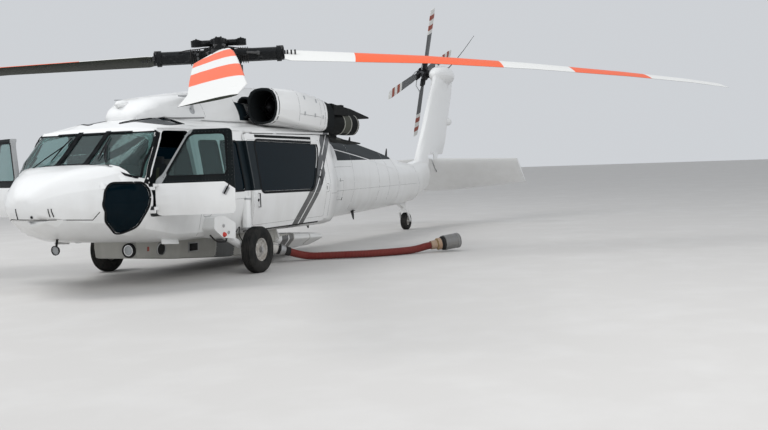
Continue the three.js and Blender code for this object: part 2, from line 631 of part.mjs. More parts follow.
// Roof fairing over the gearbox
const FAIRING = [
  [2560, 2260, 230, 2200, 270, 2000, 280, 1, 1, 0],
  [2420, 2400, 290, 2240, 360, 2000, 380, 0.9, 0.9, 0],
  [2180, 2515, 330, 2280, 460, 2000, 480, 0.8, 0.8, 0],
  [1500, 2600, 370, 2300, 560, 2000, 570, 0.8, 0.6, 0],
  [700, 2690, 380, 2300, 590, 2000, 590, 0.8, 0.6, 0],
  [0, 2760, 370, 2300, 600, 2000, 600, 0.8, 0.6, 0],
  [-700, 2795, 330, 2300, 600, 2000, 600, 0.8, 0.6, 0],
  [-1600, 2640, 280, 2270, 520, 1950, 520, 0.8, 0.6, 0],
  [-2500, 2330, 200, 2150, 380, 1900, 380, 0.8, 0.6, 0],
  [-3300, 2065, 90, 2030, 160, 1880, 160, 0.8, 0.6, 0],
];
const fairingOuter = sectionLoft(FAIRING);
const mastAxis = new THREE.Vector3(Math.sin(MAST_TILT), 0, Math.cos(MAST_TILT));
const alongMast = (distance) => new THREE.Vector3(0, 0, ROTOR_Z).addScaledVector(mastAxis, distance).toArray();
addMesh('roof_fairing', fairingOuter.subtract(hullSkin)
  .subtract(bore(alongMast(-760), alongMast(200), MAST_RADIUS, 24)), 'white');

// Engine cowlings, each around an engine block, and their exhausts
const ENGINE = { y: 945, front: 370, rear: -1600 };
const ENGINE_BLOCK = { front: -150, frontZ: 2385, rear: -1250, rearZ: 2335, radius: 190 };
// Columns as for the hull, with half widths measured from the engine's own centre line.
const COWLING = [
  [ENGINE.front, 2685, 195, 2412, 285, 2138, 195, 0.9, 1, 0.9],
  [-300, 2695, 230, 2400, 310, 2105, 260, 0.8, 0.9, 0.5],
  [-1000, 2630, 225, 2345, 300, 2055, 250, 0.8, 0.9, 0.5],
  [ENGINE.rear, 2530, 190, 2275, 250, 2030, 190, 0.9, 1, 0.8],
];
// The small inlet beside the large one.
const SIDE_INLET = { y: 600, z: 2412, halfWide: 125, halfHigh: 165, rear: -140, wall: 20 };
const cowlingOuter = sectionLoft(COWLING);
const cowlingInner = sectionLoft([
  [ENGINE.front + 1, ...COWLING[0].slice(1)],
  ...COWLING.slice(1, -1),
  [ENGINE.rear - 1, ...COWLING[COWLING.length - 1].slice(1)],
], 35);
const fairingSkin = sectionLoft(FAIRING, -SEAM);
// Exhaust: a barrel between an upper shield and a lower plate, joined by an upright web on the inner side.
const BARREL = { front: [-1690, 935, 2200], rear: [-2400, 1100, 2165], radius: 185, wall: 36 };
const SHIELD = [[ENGINE.rear - SEAM, 2500], [-2250, 2440], [-3000, 2315], [-3000, 2290], [-2300, 2310],
  [ENGINE.rear - SEAM, 2330]];
const PLATE = [[ENGINE.rear - SEAM, 1985], [-3000, 1865], [-3000, 1845], [ENGINE.rear - SEAM, 1955]];
const WEB = [[ENGINE.rear - SEAM, 2450], [ENGINE.rear - SEAM, 1970], [-2500, 1875], [-2500, 2350]];

function exhaust() {
  const front = new THREE.Vector3(...BARREL.front);
  const rear = new THREE.Vector3(...BARREL.rear);
  const along = (share) => front.clone().lerp(rear, share).toArray();
  const duct = rod(along(-0.2), along(1.2), BARREL.radius - BARREL.wall, 20);
  const doorWay = box(-3100, ENGINE.rear, 992, WIDE, 0, CABIN_DOOR.top + RUNNING_GAP);
  return union(
    sidePrism(SHIELD, 720, 1170), rod(along(0), along(1), BARREL.radius, 20), sidePrism(PLATE, 720, 990),
    sidePrism(WEB, 700, 765),
  ).subtract(duct).subtract(doorWay);
}

function ovalTube(tube, front, grow) {
  const ring = (x) => [...Array(14).keys()].map((i) => {
    const a = (i / 14) * 2 * Math.PI;
    return new THREE.Vector3(
      x, tube.y + (tube.halfWide + grow) * Math.cos(a), tube.z + (tube.halfHigh + grow) * Math.sin(a),
    );
  });
  return loft([ring(front), ring(tube.rear - grow)]);
}

function engineBlock(grow) {
  const { front, frontZ, rear, rearZ, radius } = ENGINE_BLOCK;
  return rod([front + grow, ENGINE.y, frontZ], [rear - grow, ENGINE.y, rearZ], radius + grow, 20);
}

const across = (solid, side) => (side > 0 ? solid : solid.mirror([0, 1, 0]));
const portCowling = (() => {
  const move = (solid) => solidOf(geometryOf(solid).translate(0, ENGINE.y, 0));
  const outer = union(move(cowlingOuter), ovalTube(SIDE_INLET, ENGINE.front - 30, 0));
  const inner = union(move(cowlingInner), ovalTube(SIDE_INLET, ENGINE.front, -SIDE_INLET.wall));
  const mount = box(-900, -500, ENGINE.y - 60, ENGINE.y + 60, 2060, 2230).intersect(move(cowlingOuter));
  return union(outer.subtract(inner), mount).subtract(engineBlock(SEAM));
})();
const bodySkin = union(hullSkin, fairingSkin);
for (const [side, name] of sideNames) {
  addMesh(`engine_cowling_${name}`, across(portCowling, side).subtract(bodySkin), 'white');
  addMesh(`engine_block_${name}`, across(engineBlock(0), side), 'darkSteel');
  addMesh(`exhaust_${name}`, across(exhaust(), side).subtract(bodySkin), 'black');
}

// Water tank
const TANK = [
  [2800, 700, 340, 480, 350, 340, 330, 0.3, 0.3, 0.3],
  [1900, 700, 430, 400, 440, 250, 410, 0.3, 0.3, 0.3],
  [900, 700, 600, 380, 620, 180, 580, 0.3, 0.3, 0.3],
  [-80, 680, 790, 350, 820, 150, 700, 0.3, 0.3, 0.3],
  [-180, 455, 830, 340, 840, 150, 700, 0.3, 0.3, 0.3],
  [-500, 435, 850, 330, 860, 150, 700, 0.3, 0.3, 0.3],
  [-1500, 370, 800, 290, 840, 150, 640, 0.3, 0.3, 0.3],
  [-1800, 330, 740, 270, 780, 180, 600, 0.4, 0.3, 0.4],
];
addMesh('water_tank', sectionLoft(TANK).subtract(hullSkin), 'tank');

// Main gear and wheels
const LEG = { pivotX: 2010, pivotZ: 750, beamY: 1200 };
for (const [side, name] of sideNames) {
  const y = (value) => side * value;
  const stub = sidePrism(
    [[2270, 850], [2290, 690], [2080, 560], [1760, 520], [1740, 740], [2020, 850]],
    Math.min(y(900), y(1240)), Math.max(y(900), y(1240)), 30,
  );
  const beamTop = [LEG.pivotX, y(LEG.beamY - 60), LEG.pivotZ - 120];
  const beam = rod(beamTop, [MAIN_WHEEL.x, y(1140), MAIN_WHEEL.radius], 55);
  const strut = union(
    rod([MAIN_WHEEL.x, y(1150), MAIN_WHEEL.radius], [MAIN_WHEEL.x - 60, y(1120), 960], 42, 12),
    rod([MAIN_WHEEL.x - 30, y(1135), 620], [MAIN_WHEEL.x - 70, y(1110), 1080], 66, 12),
  );
  const axleAt = (out) => [MAIN_WHEEL.x, y(out), MAIN_WHEEL.radius];
  const axle = rod(axleAt(1100), axleAt(1400), MAIN_WHEEL.axle, 16);
  addMesh(`main_gear_${name}`, union(stub, beam, strut, axle).subtract(hullSkin), 'white');
  const wheel = new THREE.Group();
  wheel.position.set(MAIN_WHEEL.x, y(MAIN_WHEEL.y), MAIN_WHEEL.radius);
  craft.add(wheel);
  const { radius, width, rim } = MAIN_WHEEL;
  const half = width / 2;
  const profile = [
    [MAIN_WHEEL.axle + PIN_GAP, -half * 0.55], [rim, -half * 0.75], [radius * 0.8, -half],
    [radius * 0.95, -half * 0.8], [radius, -half * 0.45], [radius, half * 0.45], [radius * 0.95, half * 0.8],
    [radius * 0.8, half], [rim, half * 0.75], [MAIN_WHEEL.axle + PIN_GAP, half * 0.55],
  ];
  addMesh(`main_wheel_${name}`, solidOf(turned(profile, 32)), 'rubber', wheel);
}

// Tail gear: a fixed leg, a swivelling fork and a wheel
addMesh('tail_gear_leg', union(
  rod([TAIL_WHEEL.swivelX, 0, TAIL_WHEEL.swivelZ], [TAIL_WHEEL.swivelX, 0, TAIL_WHEEL.swivelZ + 200], 58, 12),
  sidePrism([[-7180, 500], [-6700, 680], [-7330, 720], [-7300, 520]], -45, 45),
).subtract(hullSkin), 'white');
const forkGroup = new THREE.Group();
forkGroup.position.set(TAIL_WHEEL.swivelX, 0, TAIL_WHEEL.swivelZ);
craft.add(forkGroup);
const forkBack = TAIL_WHEEL.x - TAIL_WHEEL.swivelX;
const forkDown = TAIL_WHEEL.radius - TAIL_WHEEL.swivelZ;
const forkOut = TAIL_WHEEL.width / 2 + 30;
addMesh('tail_gear_fork', union(
  rod([0, 0, -60], [0, 0, -PIN_GAP], 50, 12),
  box(-70, 50, -forkOut - 15, forkOut + 15, -92, -40),
  rod([-20, forkOut, -70], [forkBack, forkOut, forkDown], 26, 10),
  rod([-20, -forkOut, -70], [forkBack, -forkOut, forkDown], 26, 10),
  rod([forkBack, -forkOut - 20, forkDown], [forkBack, forkOut + 20, forkDown], TAIL_WHEEL.axle, 12),
), 'white', forkGroup);
const tailWheel = new THREE.Group();
tailWheel.position.set(forkBack, 0, forkDown);
forkGroup.add(tailWheel);
const tailHalf = TAIL_WHEEL.width / 2;
addMesh('tail_wheel', solidOf(turned([
  [TAIL_WHEEL.axle + PIN_GAP, -tailHalf * 0.7],
  [TAIL_WHEEL.rim, -tailHalf * 0.7],
  [TAIL_WHEEL.radius * 0.8, -tailHalf],
  [TAIL_WHEEL.radius, -tailHalf * 0.5],
  [TAIL_WHEEL.radius, tailHalf * 0.5],
  [TAIL_WHEEL.radius * 0.8, tailHalf],
  [TAIL_WHEEL.rim, tailHalf * 0.7],
  [TAIL_WHEEL.axle + PIN_GAP, tailHalf * 0.7],
], 28)), 'rubber', tailWheel);

// Main rotor, in a frame whose Z is the tilted mast
const mainRotor = new THREE.Group();
mainRotor.position.set(0, 0, ROTOR_Z);
mainRotor.rotation.y = MAST_TILT;
craft.add(mainRotor);
// How each parked blade hangs. Columns: lead, flap and extra pitch, all in degrees.
const BLADE_REST = [[1.5, -1.3, 6], [0, -1.7, 7], [0, 2, 1], [0, 2, 1]];
const bladeTurns = BLADE_REST.map(([lead], i) => (
  BLADE_START + THREE.MathUtils.degToRad(lead) + (i * 2 * Math.PI) / BLADE_COUNT
));
const HUB = { radius: 240, half: 75, bifilarZ: 160, bifilarOut: 345 };
const hubParts = [
  rod([0, 0, -720], [0, 0, 215], MAST_RADIUS, 24),
  rod([0, 0, -HUB.half], [0, 0, HUB.half], HUB.radius, 24),
  rod([0, 0, -430], [0, 0, -350], 300, 24),
  rod([0, 0, HUB.bifilarZ - 20], [0, 0, HUB.bifilarZ + 20], 170, 16),
];
for (const turn of bladeTurns) {
  const at = (r, side, z) => [
    r * Math.cos(turn) - side * Math.sin(turn), r * Math.sin(turn) + side * Math.cos(turn), z,
  ];
  hubParts.push(
    rod(at(150, 0, -45), at(BLADE_ROOT - SEAM, 0, -45), 105, 10),
    rod(at(270, 190, -390), at(330, 200, -20), 22, 6),
    rod(at(270, 190, -390), at(100, 60, -390), 40, 6),
    rod(at(330, 210, -20), at(430, 0, -10), 42, 6),
    rod(at(0, 0, HUB.bifilarZ), at(HUB.bifilarOut, 0, HUB.bifilarZ), 50, 8),
    rod(at(HUB.bifilarOut, 0, HUB.bifilarZ - 50), at(HUB.bifilarOut, 0, HUB.bifilarZ + 50), 85, 10),
  );
}
addMesh('main_rotor_hub', union(...hubParts), 'black', mainRotor);

// Blade stations. Columns: share of the radius, share of the chord, half thickness, pitch in degrees.
const BLADE = [
  [BLADE_ROOT / ROTOR_RADIUS, 0.8, 40, 14],
  [0.135, 1, 30, 14],
  [0.4, 1, 26, 9],
  [0.6, 1, 25, 6],
  [0.8, 1, 24, 3],
  [TIP_SWEEP_START, 1, 23, 2],
  [1, 0.96, 12, 3],
];

function bladeDroop(share) {
  return -BLADE_DROOP * Math.pow(Math.max(0, share - 0.05) / 0.95, 1.6);
}

BLADE_REST.forEach(([, flap, extraPitch], i) => {
  const rings = BLADE.map(([share, chordShare, half, pitch]) => {
    const r = share * ROTOR_RADIUS;
    const chord = chordShare * BLADE_CHORD;
    const swept = Math.max(0, share - TIP_SWEEP_START) * ROTOR_RADIUS * Math.tan(TIP_SWEEP);
    const front = chord * 0.3 - swept;
    const angle = THREE.MathUtils.degToRad(pitch + extraPitch);
    const height = bladeDroop(share) - 40 + (r - BLADE_ROOT) * Math.tan(THREE.MathUtils.degToRad(flap));
    return foilLoop().map(([u, v]) => {
      const y = front - u * chord;
      const z = v * half;
      return new THREE.Vector3(
        r, y * Math.cos(angle) - z * Math.sin(angle), y * Math.sin(angle) + z * Math.cos(angle) + height,
      );
    });
  });
  const geometry = geometryOf(loft(rings));
  geometry.rotateZ(bladeTurns[i]);
  addMesh(`main_blade_${i + 1}`, geometry, 'orange', mainRotor);
});

// Suction hose, its coupling on the tank and the pump head on the ground
const HOSE_RADIUS = 60;
const HOSE_ROUTE = [
  [-40, 950, 205], [-135, 1025, 170], [-300, 1105, 112], [-480, 1210, 70], [-620, 1400, 62], [-760, 1660, 62],
  [-920, 1940, 62], [-1130, 2170, 62], [-1370, 2360, 62], [-1620, 2530, 70], [-1810, 2680, 110],
  [-1920, 2790, 128],
];
const hosePoints = HOSE_ROUTE.map((p) => new THREE.Vector3(...p));
const hoseCurve = new THREE.CatmullRomCurve3(hosePoints, false, 'centripetal');
const hoseSection = new THREE.Shape();
for (let i = 0; i < 10; i++) {
  const a = (i / 10) * 2 * Math.PI;
  const [u, v] = [HOSE_RADIUS * Math.cos(a), HOSE_RADIUS * Math.sin(a)];
  if (i === 0) hoseSection.moveTo(u, v);
  else hoseSection.lineTo(u, v);
}
hoseSection.closePath();
const hoseTube = new THREE.ExtrudeGeometry(hoseSection, {
  steps: 14, extrudePath: hoseCurve, bevelEnabled: false,
});
addMesh('hose', hoseTube, 'hose');
function onHose(end, distance) {
  const point = hoseCurve.getPoint(end);
  const away = hoseCurve.getTangent(end).multiplyScalar(end === 0 ? -1 : 1);
  return point.addScaledVector(away, distance).toArray();
}
const tankSkin = sectionLoft(TANK, -SEAM);
addMesh('hose_coupling', rod(onHose(0, SEAM), onHose(0, 380), 85, 16).subtract(tankSkin), 'darkSteel');
addMesh('pump_head', union(
  rod(onHose(1, SEAM), onHose(1, 130), 100, 20),
  rod(onHose(1, 130), onHose(1, 420), 126, 20),
), 'steel');

// Lamps and small fittings
const landingLight = rod([TANK[0][0] + SEAM, 240, 450], [TANK[0][0] + 50, 240, 450], 85, 20);
addMesh('landing_light', landingLight.subtract(tankSkin), 'steel');
addMesh('searchlight', union(
  rod([4010, 60, 560], [4050, 60, 560], 62, 16),
  rod([4010, 60, 560], [3980, 60, 740], 16, 8),
).subtract(hullSkin), 'black');

const part = new THREE.Group();
part.add(craft);
export default part;
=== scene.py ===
"""Finishes for the parked utility helicopter: paint, glazing, fittings, rotor head, wheels, tank and hose."""
import json
import math

import bmesh
import bpy
from bpy.props import FloatProperty, FloatVectorProperty, IntProperty, PointerProperty
from mathutils import Matrix, Vector
from mathutils.bvhtree import BVHTree

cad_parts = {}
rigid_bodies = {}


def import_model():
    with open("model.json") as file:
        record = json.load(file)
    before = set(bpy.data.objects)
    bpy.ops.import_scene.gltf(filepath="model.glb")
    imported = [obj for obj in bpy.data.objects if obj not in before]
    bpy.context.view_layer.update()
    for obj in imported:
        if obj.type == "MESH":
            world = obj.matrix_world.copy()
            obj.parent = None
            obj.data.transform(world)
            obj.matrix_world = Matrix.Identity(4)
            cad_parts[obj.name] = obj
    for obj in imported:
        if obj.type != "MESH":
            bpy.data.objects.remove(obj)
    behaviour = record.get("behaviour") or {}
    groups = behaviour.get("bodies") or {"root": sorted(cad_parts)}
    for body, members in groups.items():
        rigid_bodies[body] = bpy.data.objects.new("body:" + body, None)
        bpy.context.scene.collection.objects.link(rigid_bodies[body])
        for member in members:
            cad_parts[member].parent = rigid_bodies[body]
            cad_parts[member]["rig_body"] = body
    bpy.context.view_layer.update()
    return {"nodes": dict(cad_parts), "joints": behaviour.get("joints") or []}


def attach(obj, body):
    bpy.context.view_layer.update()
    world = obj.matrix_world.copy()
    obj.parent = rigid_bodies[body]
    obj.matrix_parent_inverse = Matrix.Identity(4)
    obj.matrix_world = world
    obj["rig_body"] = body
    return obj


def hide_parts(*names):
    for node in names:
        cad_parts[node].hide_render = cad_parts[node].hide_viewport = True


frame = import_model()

bl_info = {
    "name": "Utility helicopter finishes",
    "version": (1, 0, 0),
    "blender": (4, 5, 0),
    "location": "View3D > Sidebar > Helicopter",
    "description": "Paints and dresses the packed helicopter",
    "category": "Object",
}

# Stations are measured from the main rotor's centre; this carries them to the frame's origin.
ROTOR_STATION = next(j for j in frame["joints"] if j["name"] == "main_rotor_spin")["pos_m"][0]
SIDES = ((1, "port"), (-1, "starboard"))
X, Y, Z = Vector((1, 0, 0)), Vector((0, 1, 0)), Vector((0, 0, 1))
GROUPS, TREES, MATERIALS = {}, {}, {}


def at(x, y, z):
    """A point given by its station, in the frame."""
    return Vector((x + ROTOR_STATION, y, z))


# Sizes and colours that a user would change

def colour(name, description, default):
    return FloatVectorProperty(name=name, description=description, default=default, subtype="COLOR", size=3,
                               min=0, max=1)


def length(name, description, default, **limits):
    return FloatProperty(name=name, description=description, default=default, unit="LENGTH", **limits)


class PaintSettings(bpy.types.PropertyGroup):
    white: colour("White", "Main paint", (0.80, 0.805, 0.80))
    stripe: colour("Stripe", "Side stripes", (0.030, 0.033, 0.036))
    orange: colour("Orange", "Main blade bands", (0.86, 0.115, 0.025))
    red: colour("Hose red", "Suction hose", (0.20, 0.014, 0.012))
    tank: colour("Tank", "Water tank paint", (0.47, 0.465, 0.43))


class StripeSettings(bpy.types.PropertyGroup):
    front: length("Front", "From the middle to the front edge", 0.2)
    rear: length("Rear", "From the middle to the rear edge", 0.168)
    gap: length("Gap", "Half of the white line in the middle", 0.016)


class StudSettings(bpy.types.PropertyGroup):
    spacing: length("Spacing", "Between rivets", 0.05, min=0.01)
    radius: length("Radius", "Of a rivet's head", 0.0045, min=0.001)


class HoseSettings(bpy.types.PropertyGroup):
    diameter: length("Diameter", "Over the ribs", 0.12, max=0.12)
    ribs: IntProperty(name="Ribs", description="Along the whole hose", default=118, min=10)


class StudioSettings(bpy.types.PropertyGroup):
    key: FloatProperty(name="Key", description="Power of the high lamp", unit="POWER", default=3000)
    fill: FloatProperty(name="Fill", description="Power of the side lamp", unit="POWER", default=1500)
    sky: FloatProperty(name="Sky", description="Strength of the surrounding light", default=0.72)


SETTINGS = {
    "heli_paint": PaintSettings, "heli_stripe": StripeSettings, "heli_studs": StudSettings,
    "heli_hose": HoseSettings, "heli_studio": StudioSettings,
}


def settings(name):
    return getattr(bpy.context.scene, name)


# Shader trees

class Shader:
    """Adds nodes to a tree and joins them."""

    def __init__(self, tree):
        self.tree = tree

    def add(self, kind, inputs=None, **options):
        node = self.tree.nodes.new(kind)
        for name, value in options.items():
            setattr(node, name, value)
        for name, value in (inputs or {}).items():
            if isinstance(value, bpy.types.NodeSocket):
                self.tree.links.new(value, node.inputs[name])
            else:
                node.inputs[name].default_value = value
        return node

    def math(self, operation, *values, clamp=False):
        inputs = dict(enumerate(values))
        return self.add("ShaderNodeMath", inputs, operation=operation, use_clamp=clamp).outputs[0]

    def plus(self, a, b):
        return self.math("ADD", a, b)

    def minus(self, a, b):
        return self.math("SUBTRACT", a, b)

    def times(self, a, b, clamp=False):
        return self.math("MULTIPLY", a, b, clamp=clamp)

    def between(self, low, value, high):
        """1 where a value lies between two others."""
        return self.times(self.math("GREATER_THAN", value, low), self.math("LESS_THAN", value, high))

    def ramp(self, value, low, high, start, end):
        return self.add("ShaderNodeMapRange", {0: value, 1: low, 2: high, 3: start, 4: end}).outputs[0]

    def mix(self, factor, a, b):
        return self.add("ShaderNodeMix", {0: factor, 6: a, 7: b}, data_type="RGBA").outputs[2]

    def noise(self, vector, scale, detail, roughness=0.5):
        return self.add("ShaderNodeTexNoise", {
            "Vector": vector, "Scale": scale, "Detail": detail, "Roughness": roughness}).outputs[0]

    def moved(self, vector, scale, turn=(0, 0, 0)):
        return self.add("ShaderNodeMapping", {"Vector": vector, "Scale": scale, "Rotation": turn}).outputs[0]

    def group(self, name, **inputs):
        return self.add("ShaderNodeGroup", inputs, node_tree=GROUPS[name]).outputs

    def place(self):
        return self.add("ShaderNodeTexCoord").outputs["Object"]

    def split(self, vector):
        return self.add("ShaderNodeSeparateXYZ", {"Vector": vector}).outputs


def new_group(name, inputs, outputs):
    """A shader group whose inputs are colours where a tuple is given and numbers elsewhere."""
    tree = bpy.data.node_groups.new(name, "ShaderNodeTree")
    for label, value in inputs.items():
        kind = "NodeSocketColor" if isinstance(value, tuple) else "NodeSocketFloat"
        tree.interface.new_socket(label, in_out="INPUT", socket_type=kind).default_value = value
    for label in outputs:
        kind = "NodeSocketColor" if label == "Colour" else "NodeSocketFloat"
        tree.interface.new_socket(label, in_out="OUTPUT", socket_type=kind)
    GROUPS[name] = tree
    s = Shader(tree)
    return s, s.add("NodeGroupInput").outputs


def weathering_group():
    """Soft dirt: blotches, streaks that run down, and more of both low on the craft."""
    s, given = new_group("weathering", {
        "Colour": (1, 1, 1, 1), "Dirt": (0.3, 0.28, 0.25, 1), "Amount": 0.3, "Size": 2.0}, ("Colour", "Mask"))
    place = s.place()
    blotch = s.noise(place, given["Size"], 6.0, 0.62)
    streak = s.noise(s.moved(place, (4.0, 4.0, 0.7)), given["Size"], 4.0)
    low = s.ramp(s.split(place)[2], 0.2, 1.6, 1.5, 0.75)
    rise = s.ramp(s.times(s.plus(blotch, streak), low), 0.85, 1.6, 0.0, 1.0)
    mask = s.times(rise, given["Amount"], clamp=True)
    s.add("NodeGroupOutput", {"Colour": s.mix(mask, given["Colour"], given["Dirt"]), "Mask": mask})


def grain_group():
    """Fine surface height: a broad ripple and a fine grain."""
    s, given = new_group("grain", {"Fine": 300.0, "Broad": 6.0, "Ripple": 0.5}, ("Height",))
    fine = s.noise(s.place(), given["Fine"], 3.0)
    broad = s.noise(s.place(), given["Broad"], 2.0)
    s.add("NodeGroupOutput", {"Height": s.plus(fine, s.times(broad, given["Ripple"]))})


def wear_group():
    """Scuffs: thin bright scratches and rubbed patches that show a second colour."""
    s, given = new_group("wear", {
        "Colour": (0.1, 0.1, 0.1, 1), "Under": (0.5, 0.5, 0.5, 1), "Amount": 0.3, "Size": 12.0,
    }, ("Colour", "Mask"))
    place = s.place()
    rubbed = s.ramp(s.noise(place, given["Size"], 8.0, 0.7), 0.56, 0.72, 0.0, 1.0)
    cells = {"Vector": s.moved(place, (1, 14, 1), (0.4, 0.7, 0.2)), "Scale": given["Size"]}
    scratch = s.add("ShaderNodeTexVoronoi", cells, feature="DISTANCE_TO_EDGE").outputs["Distance"]
    line = s.times(s.math("LESS_THAN", scratch, 0.012), 0.6)
    mask = s.times(s.math("MAXIMUM", rubbed, line), given["Amount"], clamp=True)
    s.add("NodeGroupOutput", {"Colour": s.mix(mask, given["Colour"], given["Under"]), "Mask": mask})


# Finishes

def rgba(value):
    """A colour from a setting's name, one number for grey, or three numbers."""
    if isinstance(value, str):
        value = getattr(settings("heli_paint"), value)
    return (value, value, value, 1) if isinstance(value, float) else (*value, 1)


def surfaced(name, colour, s, base, dirt, amount, size, rough, rougher, **inputs):
    """Ends a material: dirt over its base, which also dulls it, and the shader itself."""
    dusty = s.group("weathering", Colour=base, Dirt=rgba(dirt), Amount=amount, Size=size)
    inputs["Base Color"] = dusty["Colour"]
    inputs["Roughness"] = s.ramp(dusty["Mask"], 0.0, 1.0, rough, rougher)
    surface = s.add("ShaderNodeBsdfPrincipled", inputs)
    s.add("ShaderNodeOutputMaterial", {"Surface": surface.outputs[0]})
    MATERIALS[name].diffuse_color = colour


def finish(name, s, colour, rough=0.4, metal=0.0, dirt=(0.32, 0.29, 0.25), amount=0.3, size=2.0, under=None,
           wear=0.3, fine=320.0, ripple=0.4, bump=0.03, coat=0.0, shine=0.5, overlay=None, height=None):
    """A painted or metal surface: weathering, optional scuffs to a second colour, grain and an overlay."""
    base = rgba(colour)
    if under is not None:
        base = s.group("wear", Colour=base, Under=rgba(under), Amount=wear)["Colour"]
    if overlay is not None:
        base = overlay(s, base)
    grain = s.group("grain", Fine=fine, Ripple=ripple)["Height"]
    if height is not None:
        grain = s.plus(grain, height(s))
    normal = s.add("ShaderNodeBump", {"Height": grain, "Strength": 1.0, "Distance": bump * 0.001}).outputs[0]
    surfaced(name, rgba(colour), s, base, dirt, amount, size, rough, min(1.0, rough + 0.45), **{
        "Metallic": metal, "Normal": normal, "Coat Weight": coat, "Coat Roughness": 0.08,
        "Specular IOR Level": shine})


def glazing(name, s, tint, transmission, rough=0.02, dust=0.12, bending=1.45):
    """Tinted panes with a little dust."""
    surfaced(name, (*tint, 0.5), s, rgba(tint), (0.3, 0.3, 0.29), dust, 3.0, rough, rough + 0.4, **{
        "Metallic": 0.0, "IOR": bending, "Transmission Weight": transmission})


# The middle of the stripes: upright on the tank, then swept and slightly bent up the cabin side
STRIPE_STATION, STRIPE_STEP = -0.46, 0.125
STRIPE_TURN, SWEEP_START = 0.56, 0.57
SWEEP, SWEEP_BEND = -0.951, -0.038
# Bands on the blades, as distances from the middle of their rotor
ORANGE_BANDS = ((2.13, 4.49), (5.66, 6.94))
TAIL_WHITE, TAIL_RED = (0.72, 0.72, 0.70, 1), (0.30, 0.06, 0.035, 1)
TAIL_BANDS = ((1.06, 1.7, TAIL_WHITE), (1.16, 1.29, TAIL_RED), (1.42, 1.54, TAIL_RED))


def side_stripes(s, base):
    """Two dark bands with a white line between them, swept down the cabin side."""
    sizes = settings("heli_stripe")
    x, _, z = s.split(s.place())
    rise = s.minus(z, SWEEP_START)
    swept = s.minus(s.times(rise, SWEEP), s.times(s.times(rise, rise), SWEEP_BEND))
    above = s.math("GREATER_THAN", z, STRIPE_TURN)
    shift = s.times(above, s.plus(swept, STRIPE_STEP))
    off = s.minus(x, s.plus(ROTOR_STATION + STRIPE_STATION, shift))
    beside_gap = s.math("GREATER_THAN", s.math("ABSOLUTE", off), sizes.gap)
    return s.mix(s.times(s.between(-sizes.rear, off, sizes.front), beside_gap), base, rgba("stripe"))


def blade_bands(s, base):
    """White and orange bands by distance from the mast."""
    x, y, _ = s.split(s.place())
    away = s.minus(x, ROTOR_CENTRE.x)
    reach = s.math("SQRT", s.plus(s.times(away, away), s.times(y, y)))
    for inner, outer in ORANGE_BANDS:
        base = s.mix(s.between(inner, reach, outer), base, rgba("orange"))
    return base


def tail_blade_bands(s, base):
    """Grey blades with white tips and two brown-red bands, by distance from the hub."""
    distance = s.add("ShaderNodeVectorMath", {0: s.place(), 1: tuple(TAIL_HUB)}, operation="DISTANCE")
    away = distance.outputs["Value"]
    for inner, outer, band in TAIL_BANDS:
        base = s.mix(s.between(inner, away, outer), base, band)
    return base


def painted_groove_shade(s, base):
    """Paints shade into the hose's grooves: darker where the stored rib height is low."""
    rib = s.add("ShaderNodeAttribute", attribute_name="rib").outputs["Fac"]
    return s.mix(rib, (*(c * 0.35 for c in settings("heli_paint").red), 1), base)


def weave(s):
    """The height of a plain weave."""
    x, y, z = s.split(s.place())
    across = s.math("SINE", s.times(s.plus(x, z), 1600.0))
    return s.times(s.times(across, s.math("SINE", s.times(y, 1600.0))), 0.5)


